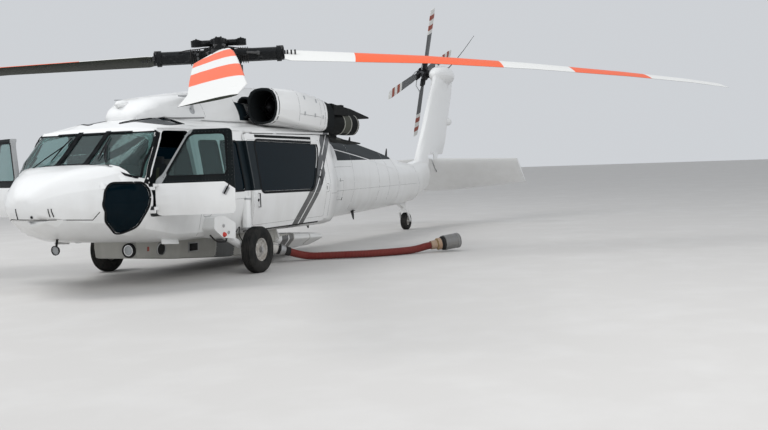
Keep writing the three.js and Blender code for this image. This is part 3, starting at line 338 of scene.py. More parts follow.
WHITE = dict(colour="white", rough=0.28, amount=0.22, dirt=(0.42, 0.40, 0.36), size=1.4, coat=0.35, bump=0.05,
             ripple=3.0)
PAINTS = {
    "white_paint": WHITE,
    "striped_paint": dict(WHITE, overlay=side_stripes),
    "black_paint": dict(colour=(0.008, 0.014, 0.018), rough=0.5, shine=0.15, under=0.05, wear=0.2,
                        amount=0.18, dirt=(0.07, 0.07, 0.06)),
    # Near-black lining for inner faces and the walls of openings: painted shade of the interior and of
    # recesses, over the lining's own dark grey.
    "dark_lining": dict(colour=(0.012, 0.014, 0.015), rough=0.85, shine=0.1, dirt=(0.05, 0.05, 0.045),
                        fine=120.0, bump=0.6),
    "rubber_seal": dict(colour=(0.006, 0.007, 0.008), rough=0.62, amount=0.2, dirt=0.03, bump=0.1,
                        shine=0.15),
    "seam_shadow": dict(colour=0.22, rough=0.7, bump=0.05),
    "bare_metal": dict(colour=(0.52, 0.53, 0.54), rough=0.32, metal=0.9, amount=0.35, under=0.3, wear=0.4),
    "dark_metal": dict(colour=(0.06, 0.06, 0.062), rough=0.42, metal=0.75, amount=0.4, under=0.25, wear=0.35),
    "black_fitting": dict(colour=(0.008, 0.008, 0.009), rough=0.5, metal=0.1, shine=0.2, under=0.10,
                          amount=0.25, dirt=(0.08, 0.075, 0.07)),
    "soot": dict(colour=(0.010, 0.011, 0.011), rough=0.72, metal=0.2, shine=0.2, under=(0.05, 0.055, 0.054),
                 wear=0.6, amount=0.4, dirt=(0.045, 0.045, 0.042), size=5.0),
    "tyre_rubber": dict(colour=(0.008, 0.010, 0.011), rough=0.86, shine=0.15, amount=0.45,
                        dirt=(0.06, 0.055, 0.05), size=7.0, fine=180.0, bump=0.25),
    "floor_paint": dict(colour=(0.60, 0.59, 0.575), rough=0.75, amount=0.25, size=0.35,
                        dirt=(0.45, 0.43, 0.41), fine=60.0, bump=0.5),
    # The hose's grooves are darkened by painted shade.
    "hose_rubber": dict(colour="red", rough=0.5, amount=0.25, dirt=(0.20, 0.08, 0.06), size=5.0, fine=220.0,
                        bump=0.4, overlay=painted_groove_shade),
    "pump_steel": dict(colour=(0.30, 0.31, 0.32), rough=0.3, metal=0.85, amount=0.4, size=6.0,
                       under=(0.3, 0.29, 0.28), wear=0.5),
    "brass": dict(colour=(0.62, 0.40, 0.16), rough=0.35, metal=0.9, under=(0.3, 0.2, 0.1), wear=0.5,
                  amount=0.4),
    "tan_sleeve": dict(colour=(0.34, 0.19, 0.10), rough=0.6, amount=0.5, size=8.0, bump=0.3),
    "coupling_white": dict(colour=(0.70, 0.70, 0.68), amount=0.5, size=8.0, bump=0.1),
    "riveted_black": dict(colour=(0.006, 0.009, 0.010), rough=0.5, shine=0.15, under=0.07, amount=0.2,
                          dirt=(0.07, 0.065, 0.06)),
    "bare_post": dict(colour=(0.42, 0.43, 0.43), rough=0.42, metal=0.55, under=0.12, wear=0.5, amount=0.4),
    "seat_cloth": dict(colour=(0.045, 0.05, 0.055), rough=0.92, amount=0.45, dirt=(0.16, 0.15, 0.14),
                       size=6.0, fine=260.0, bump=0.5, height=weave),
    "seat_shell": dict(colour=(0.10, 0.105, 0.10), rough=0.55, under=0.3, amount=0.4),
    "webbing": dict(colour=(0.10, 0.11, 0.075), rough=0.85, fine=500.0, bump=0.4),
    "panel_black": dict(colour=(0.014, 0.014, 0.015), rough=0.6, amount=0.25, dirt=0.1, fine=400.0, bump=0.3),
    "screen_glass": dict(colour=(0.008, 0.012, 0.016), rough=0.12, dirt=0.05),
    "dial_marks": dict(colour=(0.55, 0.56, 0.52), rough=0.6, amount=0.2),
    "inlet_lip": dict(colour=(0.008, 0.009, 0.010), metal=0.1, shine=0.2, under=0.12, wear=0.4, amount=0.2,
                      dirt=(0.08, 0.08, 0.07)),
    "heat_paint": dict(colour=(0.075, 0.078, 0.062), rough=0.7, metal=0.2, under=(0.03, 0.03, 0.028),
                       wear=0.6, amount=0.5, dirt=(0.03, 0.03, 0.028), size=5.0),
    "pale_ring": dict(colour=(0.42, 0.42, 0.38), rough=0.5, metal=0.4, under=(0.12, 0.11, 0.1), wear=0.5,
                      amount=0.5),
    "rotor_black": dict(colour=(0.008, 0.009, 0.010), rough=0.42, metal=0.2, shine=0.25, under=0.14,
                        wear=0.35, dirt=(0.08, 0.075, 0.065), size=7.0),
    "oily_steel": dict(colour=0.11, rough=0.33, metal=0.8, under=(0.30, 0.30, 0.29), wear=0.35, amount=0.6,
                       dirt=(0.04, 0.035, 0.03), size=9.0),
    "bearing_rubber": dict(colour=(0.03, 0.028, 0.027), rough=0.75, amount=0.4, dirt=(0.12, 0.1, 0.08)),
    "blade_top": dict(colour=(0.76, 0.76, 0.74), rough=0.45, overlay=blade_bands, amount=0.35, size=3.0,
                      dirt=(0.30, 0.28, 0.25), bump=0.1),
    "blade_underside": dict(colour=(0.030, 0.034, 0.026), rough=0.6, shine=0.2, under=(0.12, 0.12, 0.10),
                            wear=0.35, amount=0.4, dirt=(0.12, 0.11, 0.09), size=3.0),
    "tail_blade": dict(colour=(0.11, 0.115, 0.12), rough=0.5, overlay=tail_blade_bands, under=0.2, wear=0.2,
                       amount=0.4, dirt=(0.2, 0.18, 0.16), bump=0.1),
    "red_lens": dict(colour=(0.45, 0.02, 0.015), rough=0.15, amount=0.2),
    "wheel_white": dict(colour=(0.66, 0.66, 0.64), amount=0.75, dirt=(0.16, 0.13, 0.10), size=9.0, under=0.3),
    "strut_chrome": dict(colour=(0.60, 0.61, 0.62), rough=0.16, metal=0.95, under=0.4),
    "port_lamp": dict(colour=(0.55, 0.02, 0.015), rough=0.12, amount=0.2),
    "starboard_lamp": dict(colour=(0.01, 0.30, 0.08), rough=0.12, amount=0.2),
    "tank_paint": dict(colour="tank", rough=0.42, amount=0.28, dirt=(0.22, 0.21, 0.19), size=2.5, bump=0.08,
                       ripple=2.0),
    "tank_dark": dict(colour=(0.16, 0.165, 0.17), rough=0.5, amount=0.5, dirt=(0.10, 0.10, 0.09), size=3.0),
    "red_mark": dict(colour=(0.35, 0.03, 0.02), rough=0.5),
    "mirror_bowl": dict(colour=(0.75, 0.76, 0.78), rough=0.08, metal=1.0, amount=0.15),
}
PANES = {
    "clear_glass": dict(tint=(0.24, 0.38, 0.37), transmission=0.94, dust=0.05),
    "dark_glass": dict(tint=(0.003, 0.016, 0.026), transmission=0.6, dust=0.02, bending=1.16),
    "lamp_lens": dict(tint=(0.85, 0.88, 0.9), transmission=0.6, rough=0.08, dust=0.2),
}


def material(name):
    """A finish by its name, made when it is first asked for."""
    if name not in MATERIALS:
        made = bpy.data.materials.new(name)
        made.use_nodes = True
        made.node_tree.nodes.clear()
        MATERIALS[name] = made
        if name in PANES:
            glazing(name, Shader(made.node_tree), **PANES[name])
        else:
            finish(name, Shader(made.node_tree), **PAINTS[name])
    return MATERIALS[name]


# Meshes

def new_piece(name, mesh, body, *paints, smooth=30, replaces=(), slot=None):
    """Links a mesh as a piece that rides on a body."""
    piece = bpy.data.objects.new(name, mesh)
    bpy.context.scene.collection.objects.link(piece)
    for paint in paints:
        mesh.materials.append(material(paint))
    mesh.shade_smooth()
    if smooth is not None:
        mesh.set_sharp_from_angle(angle=math.radians(smooth))
    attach(piece, body)
    if replaces:
        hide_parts(*replaces)
    return piece


def from_bmesh(name, bm, *paints, body="airframe", outward=True, **options):
    if outward:
        bmesh.ops.recalc_face_normals(bm, faces=bm.faces)
    mesh = bpy.data.meshes.new(name)
    bm.to_mesh(mesh)
    bm.free()
    return new_piece(name, mesh, body, *paints, **options)


def carried(node, *paints, choose=None, cuts=(), smooth=34, bevel=0.0, slot="white_paint"):
    """A smooth copy of a CAD node in its own finishes, which stands for the node."""
    bm = bmesh.new()
    bm.from_mesh(frame["nodes"][node].data)
    bmesh.ops.remove_doubles(bm, verts=bm.verts, dist=2e-5)
    bmesh.ops.dissolve_limit(bm, angle_limit=math.radians(0.5), verts=bm.verts, edges=bm.edges)
    for point, normal in cuts:
        geometry = bm.verts[:] + bm.edges[:] + bm.faces[:]
        bmesh.ops.bisect_plane(bm, geom=geometry, plane_co=point, plane_no=normal)
    if choose is not None:
        for face in bm.faces:
            face.material_index = choose(face.calc_center_median(), face.normal)
    piece = from_bmesh(node + "_finish", bm, *paints, body=frame["nodes"][node]["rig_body"], outward=False,
                       smooth=smooth, replaces=(node,), slot=slot)
    if bevel:
        rounding = piece.modifiers.new("rounded", "BEVEL")
        rounding.width = bevel
        rounding.segments = 2
        rounding.limit_method = "ANGLE"
        rounding.angle_limit = math.radians(40)
        rounding.use_clamp_overlap = True
    piece.modifiers.new("weighted", "WEIGHTED_NORMAL").keep_sharp = True


# Where rays start, clear of the craft
ASIDE, ABOVE, UNDER, AHEAD = 3, 6, -1, 9


class Skin:
    """Rays onto the surface of some CAD nodes; each gives a point and the way out there, or nothing."""

    def __init__(self, *nodes):
        points, faces = [], []
        for node in nodes:
            mesh = frame["nodes"][node].data
            start = len(points)
            points += [v.co.copy() for v in mesh.vertices]
            faces += [tuple(start + i for i in polygon.vertices) for polygon in mesh.polygons]
        self.tree = BVHTree.FromPolygons(points, faces)

    def hit(self, origin, direction):
        point, normal, _, _ = self.tree.ray_cast(origin, direction)
        if point is None:
            return None
        return point, (-normal if normal.dot(direction) > 0 else normal)

    def flank(self, side, turn=Matrix()):
        """A view from one side, as a function of station and height; turn carries it to an open door."""
        inwards = turn.to_3x3() @ Vector((0, -side, 0))
        return lambda x, z: self.hit(turn @ at(x, side * ASIDE, z), inwards)

    def top(self, x, y):
        return self.hit(at(x, y, ABOVE), -Z)

    def below(self, x, y):
        return self.hit(at(x, y, UNDER), Z)

    def front(self, y, z):
        return self.hit(at(AHEAD, y, z), -X)


def met(hits):
    """The rays of a row that met the skin."""
    return [hit for hit in hits if hit]


def row(view, start, step, count):
    """Hits at even steps, missing ones too."""
    return [view(start[0] + k * step[0], start[1] + k * step[1]) for k in range(count)]


def facing(hit):
    """A frame that stands on a skin with Z outwards."""
    return Matrix.Translation(hit[0]) @ hit[1].to_track_quat("Z", "Y").to_matrix().to_4x4()


def rounded(corners, radius, pieces=5):
    """A closed outline with each corner rounded."""
    points = []
    for i, corner in enumerate(corners):
        before, after = corners[i - 1] - corner, corners[(i + 1) % len(corners)] - corner
        cut = min(radius, before.length * 0.49, after.length * 0.49)
        start = corner + before.normalized() * cut
        end = corner + after.normalized() * cut
        for k in range(pieces + 1):
            t = k / pieces
            points.append(start * (1 - t) ** 2 + corner * 2 * t * (1 - t) + end * t * t)
    return points


def resampled(points, step, closed=False):
    """The same line with points no further apart than the step."""
    line = points + [points[0]] if closed else points
    out = []
    for a, b in zip(line, line[1:]):
        pieces = max(1, math.ceil((b - a).length / step))
        out += [a.lerp(b, k / pieces) for k in range(pieces)]
    return out if closed else out + [line[-1]]


def traced(view, corners, radius=0.04, grow=0.0, step=0.05):
    """Points on a skin under a closed flat outline with round corners."""
    flat = rounded([Vector((*corner, 0)) for corner in corners], radius)
    turn = sum(a.x * b.y - b.x * a.y for a, b in zip(flat, flat[1:] + flat[:1]))
    grown = []
    for i, point in enumerate(flat):
        along = (flat[(i + 1) % len(flat)] - flat[i - 1]).normalized()
        grown.append(point + Vector((along.y, -along.x, 0)) * math.copysign(grow, turn))
    return met(view(p.x, p.y) for p in resampled(grown, step, closed=True))


def drawn(view, points, step=0.05):
    """Points on a skin under an open flat line."""
    return met(view(p.x, p.y) for p in resampled([Vector((*point, 0)) for point in points], step))


def smooth_line(points, pieces, power=0.0):
    """A smooth line through a few points; the power says how much a long stretch slows it."""
    route = [points[0] * 2 - points[1], *points, points[-1] * 2 - points[-2]]
    line = []
    for a, b, c, d in zip(route, route[1:], route[2:], route[3:]):
        t0, t1, t2 = ((q - p).length ** power for p, q in ((a, b), (b, c), (c, d)))
        m1 = ((b - a) / t0 - (c - a) / (t0 + t1) + (c - b) / t1) * t1
        m2 = ((c - b) / t1 - (d - b) / (t1 + t2) + (d - c) / t2) * t1
        for k in range(pieces):
            t = k / pieces
            line.append(b * (2 * t ** 3 - 3 * t * t + 1) + m1 * (t ** 3 - 2 * t * t + t)
                        + c * (3 * t * t - 2 * t ** 3) + m2 * (t ** 3 - t * t))
    return line + [points[-1]]


def walls(bm, a, b, index=0):
    """Faces between two rings of points; points that fall together are taken once."""
    for k in range(len(a)):
        n = (k + 1) % len(a)
        corners = list(dict.fromkeys((a[k], a[n], b[n], b[k])))
        if len(corners) > 2:
            bm.faces.new(corners).material_index = index


def ends(bm, rings, index=0):
    """Closes both ends of a row of rings."""
    bm.faces.new(rings[0][::-1]).material_index = index
    bm.faces.new(rings[-1]).material_index = index


def ribbon(bm, hits, width, height, closed=False, depth=0.004, index=0):
    """Adds a flat strip along points on a skin."""
    hits = met(hits)
    count = len(hits)
    if count < 2:
        return
    rows = []
    for i, (point, normal) in enumerate(hits):
        before = hits[i - 1][0] if closed or i > 0 else point
        after = hits[(i + 1) % count][0] if closed or i < count - 1 else point
        across = (after - before).cross(normal)
        if across.length < 1e-9:
            continue
        across = across.normalized() * width / 2
        up, down = normal * height, normal * -depth
        rows.append([bm.verts.new(point + shift) for shift in (
            down - across, up - across, up + across, down + across)])
    for a, b in zip(rows, rows[1:] + rows[:1] if closed else rows[1:]):
        walls(bm, a, b, index)
    if not closed:
        ends(bm, rows, index)


def circle(bm, centre, u, v, radius, sides):
    turns = (2 * math.pi * k / sides for k in range(sides))
    return [bm.verts.new(centre + (u * math.cos(a) + v * math.sin(a)) * radius) for a in turns]


def tube(bm, points, radius, sides=10, index=0):
    """Adds a round bar through points; radius may be a list."""
    radii = radius if isinstance(radius, list) else [radius] * len(points)
    rings = []
    up = None
    for i, point in enumerate(points):
        along = (points[min(i + 1, len(points) - 1)] - points[max(i - 1, 0)]).normalized()
        up = along.orthogonal().normalized() if up is None else (up - along * up.dot(along)).normalized()
        rings.append(circle(bm, point, up, along.cross(up), radii[i], sides))
    for a, b in zip(rings, rings[1:]):
        walls(bm, a, b, index)
    ends(bm, rings, index)


def lathe(bm, profile, centre=(0, 0, 0), axis=Z, sides=32, index=0):
    """Adds a turned shape; a profile point gives radius, place on the axis and, at will, a material."""
    axis = Vector(axis).normalized()
    u = axis.orthogonal().normalized()
    v = axis.cross(u)
    centre = Vector(centre)
    closed = profile[0][:2] == profile[-1][:2]
    rings = []
    for radius, along, *_ in profile[:-1] if closed else profile:
        middle = centre + axis * along
        tip = radius < 1e-6
        rings.append([bm.verts.new(middle)] * sides if tip else circle(bm, middle, u, v, radius, sides))
    if closed:
        rings.append(rings[0])
    for (_, _, *paint), a, b in zip(profile, rings, rings[1:]):
        walls(bm, a, b, paint[0] if paint else index)


def knob(bm, centre, axis, radius, low, high, crown, sides=6, index=0):
    """Adds a nut or a round knob."""
    lathe(bm, [(0, low), (radius, low), (radius, high), (0, crown)], centre, axis, sides, index)


def collar(bm, centre, axis, radius, deep, half, rim, sides):
    """Adds a closed band around a barrel."""
    inner = radius - deep
    band = [(inner, -half), (radius, -rim), (radius, rim), (inner, half), (inner, -half)]
    lathe(bm, band, centre, axis, sides)


def block(bm, low, high, turn=None, bevel=0.0, index=0):
    """Adds a box with softened edges between two corners."""
    low, high = Vector(low), Vector(high)
    made = bmesh.ops.create_cube(bm, size=1.0)["verts"]
    matrix = Matrix.Translation((low + high) / 2) @ Matrix.Diagonal((*(high - low), 1))
    bmesh.ops.transform(bm, matrix=matrix, verts=made)
    faces = {f for v in made for f in v.link_faces}
    if bevel:
        edges = {e for v in made for e in v.link_edges}
        out = bmesh.ops.bevel(bm, geom=list(edges), offset=bevel, segments=2, profile=0.6, affect="EDGES")
        faces = {f for v in out["verts"] for f in v.link_faces} | {f for f in faces if f.is_valid}
    for face in faces:
        face.material_index = index
    if turn is not None:
        bmesh.ops.transform(bm, matrix=turn, verts=list({v for f in faces for v in f.verts}))


def plate(bm, hit, wide, tall, low, high, bevel, index=0):
    """Adds a small block that stands on a skin, of half sizes wide and tall."""
    if hit:
        block(bm, (-wide, -tall, low), (wide, tall, high), facing(hit), bevel, index)


def ball(bm, centre, radius, scale=(1, 1, 1), segments=16, rings=10, index=0):
    made = bmesh.ops.create_uvsphere(bm, u_segments=segments, v_segments=rings, radius=radius)["verts"]
    bmesh.ops.transform(bm, matrix=Matrix.Translation(centre) @ Matrix.Diagonal((*scale, 1)), verts=made)
    for face in {f for v in made for f in v.link_faces}:
        face.material_index = index


# Geometry Nodes: heads of rivets and bolts, and the ribbed hose

def new_tree(name, inputs):
    """A node tree that takes a mesh and named values."""
    tree = bpy.data.node_groups.new(name, "GeometryNodeTree")
    tree.interface.new_socket("Geometry", in_out="INPUT", socket_type="NodeSocketGeometry")
    kinds = (*inputs, ("Material", "Material"))
    ids = [tree.interface.new_socket(label, in_out="INPUT", socket_type="NodeSocket" + kind).identifier
           for label, kind in kinds]
    tree.interface.new_socket("Geometry", in_out="OUTPUT", socket_type="NodeSocketGeometry")
    TREES[name] = tree, ids
    s = Shader(tree)
    return s, s.add("NodeGroupInput").outputs


def end_tree(s, geometry, given):
    real = s.add("GeometryNodeRealizeInstances", {"Geometry": geometry})
    painted = s.add("GeometryNodeSetMaterial", {"Geometry": real.outputs[0], "Material": given["Material"]})
    s.add("NodeGroupOutput", {"Geometry": painted.outputs[0]})


def resampled_curve(s, given, step):
    line = s.add("GeometryNodeMeshToCurve", {"Mesh": given["Geometry"]}).outputs[0]
    return s.add("GeometryNodeResampleCurve", {"Curve": line, "Length": step}, mode="LENGTH").outputs[0]


def stud_tree():
    """Round heads along lines."""
    s, given = new_tree("studs_along_lines", (("Spacing", "Float"), ("Radius", "Float")))
    head = s.add("GeometryNodeMeshIcoSphere", {"Radius": given["Radius"], "Subdivisions": 2}).outputs[0]
    places = resampled_curve(s, given, given["Spacing"])
    copies = s.add("GeometryNodeInstanceOnPoints", {"Points": places, "Instance": head})
    end_tree(s, copies.outputs[0], given)


def ring_tree():
    """Bolt heads around an axis."""
    s, given = new_tree("heads_in_a_ring", (
        ("Count", "Int"), ("Ring Radius", "Float"), ("Head Radius", "Float"), ("Head Height", "Float"),
        ("Sides", "Int")))
    ring = s.add("GeometryNodeMeshCircle", {
        "Vertices": given["Count"], "Radius": given["Ring Radius"]}).outputs[0]
    head = s.add("GeometryNodeMeshCylinder", {
        "Vertices": given["Sides"], "Radius": given["Head Radius"], "Depth": given["Head Height"]}).outputs[0]
    copies = s.add("GeometryNodeInstanceOnPoints", {"Points": ring, "Instance": head})
    end_tree(s, copies.outputs[0], given)


def hose_tree():
    """A ribbed hose along a line; each point keeps how far out of the groove it is, which the finish reads to
    paint shade into the grooves.
    """
    s, given = new_tree("ribbed_hose", (("Radius", "Float"), ("Pitch", "Float"), ("Groove", "Float")))
    spread = resampled_curve(s, given, s.math("DIVIDE", given["Pitch"], 6.0))
    along = s.add("GeometryNodeSplineParameter").outputs["Length"]
    wave = s.math("COSINE", s.times(s.math("DIVIDE", along, given["Pitch"]), 2 * math.pi))
    rise = s.math("POWER", s.plus(s.times(wave, 0.5), 0.5), 0.6)
    kept = s.add("GeometryNodeStoreNamedAttribute", {"Geometry": spread, "Name": "rib", "Value": rise})
    depth = s.times(s.minus(1.0, rise), given["Groove"])
    scale = s.minus(1.0, s.math("DIVIDE", depth, given["Radius"]))
    ring = s.add("GeometryNodeCurvePrimitiveCircle", {"Resolution": 18, "Radius": given["Radius"]})
    swept = s.add("GeometryNodeCurveToMesh", {
        "Curve": kept.outputs[0], "Profile Curve": ring.outputs[0], "Fill Caps": True, "Scale": scale})
    end_tree(s, swept.outputs[0], given)


def baked(name, points, edges, tree_name, values, body, matrix=Matrix(), **options):
    """Runs a node tree on a line or a point and keeps the result as a plain mesh on a body."""
    source = bpy.data.meshes.new(name)
    source.from_pydata(points, edges, [])
    carrier = bpy.data.objects.new(name + "_source", source)
    bpy.context.scene.collection.objects.link(carrier)
    modifier = carrier.modifiers.new("nodes", "NODES")
    modifier.node_group, ids = TREES[tree_name]
    for identifier, value in zip(ids, values):
        modifier[identifier] = value
    graph = bpy.context.evaluated_depsgraph_get()
    mesh = bpy.data.meshes.new_from_object(carrier.evaluated_get(graph))
    bpy.data.objects.remove(carrier)
    mesh.transform(matrix)
    mesh.name = name
    return new_piece(name, mesh, body, **options)


def studs(name, lines, paint, body="airframe", spacing=None, radius=None):
    """Rivets along lines of hits."""
    sizes = settings("heli_studs")
    points, edges = [], []
    for line in lines:
        line = [hit[0] for hit in met(line)]
        edges += [(len(points) + i, len(points) + i + 1) for i in range(len(line) - 1)]
        points += line
    values = (spacing or sizes.spacing, radius or sizes.radius, material(paint))
    baked(name, points, edges, "studs_along_lines", values, body)


def bolt_ring(name, centre, axis, count, ring, head, height, body, paint):
    """Six-sided bolt heads around a point."""
    turn = Matrix.Translation(centre) @ axis.to_track_quat("Z", "Y").to_matrix().to_4x4()
    baked(name, [], [], "heads_in_a_ring", (count, ring, head, height, 6, material(paint)), body, turn)


def turned(turn, *points):
    return [turn @ Vector(point) for point in points]


def slab(bm, x, y, half, z, bevel=0.006):
    """Adds a block from one station and height to another, on both sides of y."""
    block(bm, at(x[0], y - half, z[0]), at(x[1], y + half, z[1]), bevel=bevel)


# Camera, floor and light

CAMERA_STATION = (14.361, 9.017, 1.496)
YAW, PITCH, ROLL = (math.radians(angle) for angle in (-156.319, -2.816, -2.039))
LENS = 49.815
FLOOR_HALF = 150


class HELI_OT_camera(bpy.types.Operator):
    """The camera at the photograph's place"""
    bl_idname = "heli.camera"
    bl_label = "Camera"

    def execute(self, context):
        data = bpy.data.cameras.new("photo_view")
        data.sensor_width = 36.0
        data.lens = LENS
        data.clip_end = 500
        camera = bpy.data.objects.new("photo_view", data)
        context.scene.collection.objects.link(camera)
        forward = Vector((math.cos(YAW) * math.cos(PITCH), math.sin(YAW) * math.cos(PITCH), math.sin(PITCH)))
        right = forward.cross(Z).normalized()
        up = right.cross(forward)
        turned_right = right * math.cos(ROLL) + up * math.sin(ROLL)
        turned_up = up * math.cos(ROLL) - right * math.sin(ROLL)
        turn = Matrix((turned_right, turned_up, -forward)).transposed().to_4x4()
        camera.matrix_world = Matrix.Translation(at(*CAMERA_STATION)) @ turn
        context.scene.camera = camera
        return {"FINISHED"}


class HELI_OT_stage(bpy.types.Operator):
    """Pale floor, soft lamps and the surrounding light"""
    bl_idname = "heli.stage"
    bl_label = "Stage"

    def execute(self, context):
        sizes = settings("heli_studio")
        floor = bpy.data.meshes.new("floor")
        corners = [(x * FLOOR_HALF, y * FLOOR_HALF, 0) for x, y in ((-1, -1), (1, -1), (1, 1), (-1, 1))]
        floor.from_pydata(corners, [], [(0, 1, 2, 3)])
        floor.materials.append(material("floor_paint"))
        piece = bpy.data.objects.new("floor", floor)
        context.scene.collection.objects.link(piece)
        world = bpy.data.worlds.new("studio")
        world.use_nodes = True
        background = world.node_tree.nodes["Background"].inputs
        background["Color"].default_value = (0.86, 0.89, 0.93, 1)
        background["Strength"].default_value = sizes.sky
        context.scene.world = world
        context.scene.view_settings.view_transform = "Standard"
        for name, power, place in (("key", sizes.key, (9, -11, 19)), ("fill", sizes.fill, (13, 15, 11))):
            data = bpy.data.lights.new(name, "AREA")
            data.energy = power
            data.size = 12
            lamp = bpy.data.objects.new(name, data)
            lamp.visible_glossy = False
            lamp.location = place
            lamp.rotation_euler = (Vector((0, 0, 1.5)) - Vector(place)).to_track_quat("-Z", "Y").to_euler()
            context.scene.collection.objects.link(lamp)
        return {"FINISHED"}


# Suction hose

HOSE_ROUTE = (
    (-0.04, 0.95, 0.205), (-0.135, 1.025, 0.17), (-0.3, 1.105, 0.112), (-0.48, 1.21, 0.07),
    (-0.62, 1.4, 0.062), (-0.76, 1.66, 0.062), (-0.92, 1.94, 0.062), (-1.13, 2.17, 0.062),
    (-1.37, 2.36, 0.062), (-1.62, 2.53, 0.07), (-1.81, 2.68, 0.11), (-1.92, 2.79, 0.128),
)


class HELI_OT_hose(bpy.types.Operator):
    """Ribbed suction hose with its coupling and the pump head on the ground"""
    bl_idname = "heli.hose"
    bl_label = "Suction hose"

    def execute(self, context):
        sizes = settings("heli_hose")
        line = smooth_line([at(*point) for point in HOSE_ROUTE], 16, 0.5)
        run = sum((b - a).length for a, b in zip(line, line[1:]))
        steps = [(i, i + 1) for i in range(len(line) - 1)]
        values = (sizes.diameter / 2, run / sizes.ribs, 0.010, material("hose_rubber"))
        hose = baked("suction_hose", line, steps, "ribbed_hose", values, "airframe", smooth=60,
                     replaces=("hose",), slot="hose_rubber")
        point, out = line[-1], (line[-1] - line[-2]).normalized()
        steel, tan, brass = 1, 2, 3
        bm = bmesh.new()
        lathe(bm, [(0.052, -0.10, tan), (0.070, -0.095, tan), (0.072, 0.002, brass), (0.080, 0.004, brass),
                   (0.097, 0.02, tan), (0.098, 0.075), (0.100, 0.078), (0.100, 0.098), (0.05, 0.098)], point,
              out, 48)
        pump_collar = from_bmesh("pump_collar", bm, "black_fitting", "pump_steel", "tan_sleeve", "brass",
                                 slot="pump_steel")
        bm = bmesh.new()
        lathe(bm, [(0.05, 0.0985), (0.112, 0.104), (0.118, 0.12), (0.118, 0.142, steel),
                   (0.1245, 0.148, steel), (0.1245, 0.165, steel), (0.119, 0.172, steel),
                   (0.119, 0.35, steel), (0.1245, 0.357, steel), (0.1245, 0.40), (0.112, 0.415),
                   (0.10, 0.419), (0, 0.419)], point, out, 48)
        side = out.cross(Z).normalized()
        up = side.cross(out)
        for k in range(16):
            around = side * math.cos(k * math.pi / 8) + up * math.sin(k * math.pi / 8)
            for start, end, away, radius in ((0.185, 0.34, 0.119, 0.004), (0.128, 0.152, 0.108, 0.006)):
                tube(bm, [point + out * place + around * away for place in (start, end)], radius, 6, steel)
        from_bmesh("pump_head_finish", bm, "black_fitting", "pump_steel", replaces=("pump_head",),
                   slot="pump_steel")
        point, out = line[0], (line[0] - line[1]).normalized()
        bm = bmesh.new()
        lathe(bm, [(0.052, -0.14), (0.0685, -0.135), (0.0685, -0.05, 1), (0.074, -0.045, 1),
                   (0.074, -0.01, 1), (0.084, 0.0, 1), (0.0845, 0.04, 1), (0.05, 0.0445, 1)], point, out, 36)
        ferrule = from_bmesh("hose_ferrule", bm, "black_fitting", "bare_metal", slot="coupling_metal")
        bm = bmesh.new()
        lathe(bm, [(0.05, 0.045), (0.078, 0.045), (0.078, 0.09, 2), (0.0845, 0.095, 2), (0.0845, 0.17, 2),
                   (0.080, 0.178, 1), (0.080, 0.24, 1), (0.0845, 0.245, 1), (0.0845, 0.38, 1), (0, 0.38, 1)],
              point, out, 36)
        for away in (out.orthogonal().normalized() * 0.084, out.orthogonal().normalized() * -0.084):
            handle = facing((point + out * 0.13 + away * 0.97, out))
            block(bm, (-0.012, -0.004, -0.05), (0.012, 0.006, 0.05), handle, 0.002, 1)
        from_bmesh("hose_coupling_finish", bm, "black_fitting", "bare_metal", "coupling_white",
                   replaces=("hose_coupling",), slot="coupling_metal")
        tuple(line[0])
        [tuple(p) for p in line]
        return {"FINISHED"}


# Hull: zones give the front and rear stations and the low and high edges where the paint changes

BLACK_POST = (1.28, 0.86, 1.165, 1.885)
BLACK_TOP = (-2.93, -6.2, 1.566, math.inf)
OPEN_CABIN_DOOR = (-1.2, -3.0, 0.55, 2.05)
INLET_SIDE = (0.45, 0.2, 2.2, 2.56)
INLET_AXIS = (0.945, 2.405)


def in_zone(point, zone):
    front, rear, low, high = zone
    return rear < point.x - ROTOR_STATION < front and low < point.z < high


def planes(stations, heights=()):
    """Cuts through a mesh."""
    return [(at(x, 0, 0), X) for x in stations] + [(at(0, 0, z), Z) for z in heights]


POST_CUTS = planes(BLACK_POST[:2], BLACK_POST[2:])


def outwards(point):
    """The way out of the hull at a point, away from a line along its middle."""
    ahead = max(0.0, point.x - ROTOR_STATION - 2.7)
    return Vector((ahead, point.y, point.z - 1.25)).normalized()


def hides_itself(node):
    """A test for faces that look at their own piece from inside: the lining and the walls of openings, which
    get painted shade.
    """
    mesh = frame["nodes"][node].data
    tree = BVHTree.FromPolygons([v.co for v in mesh.vertices], [tuple(p.vertices) for p in mesh.polygons])

    def test(centre, normal):
        hit = tree.ray_cast(centre + normal * 0.004, normal)
        return hit[0] is not None and 0.2 < hit[3] < 7
    return test


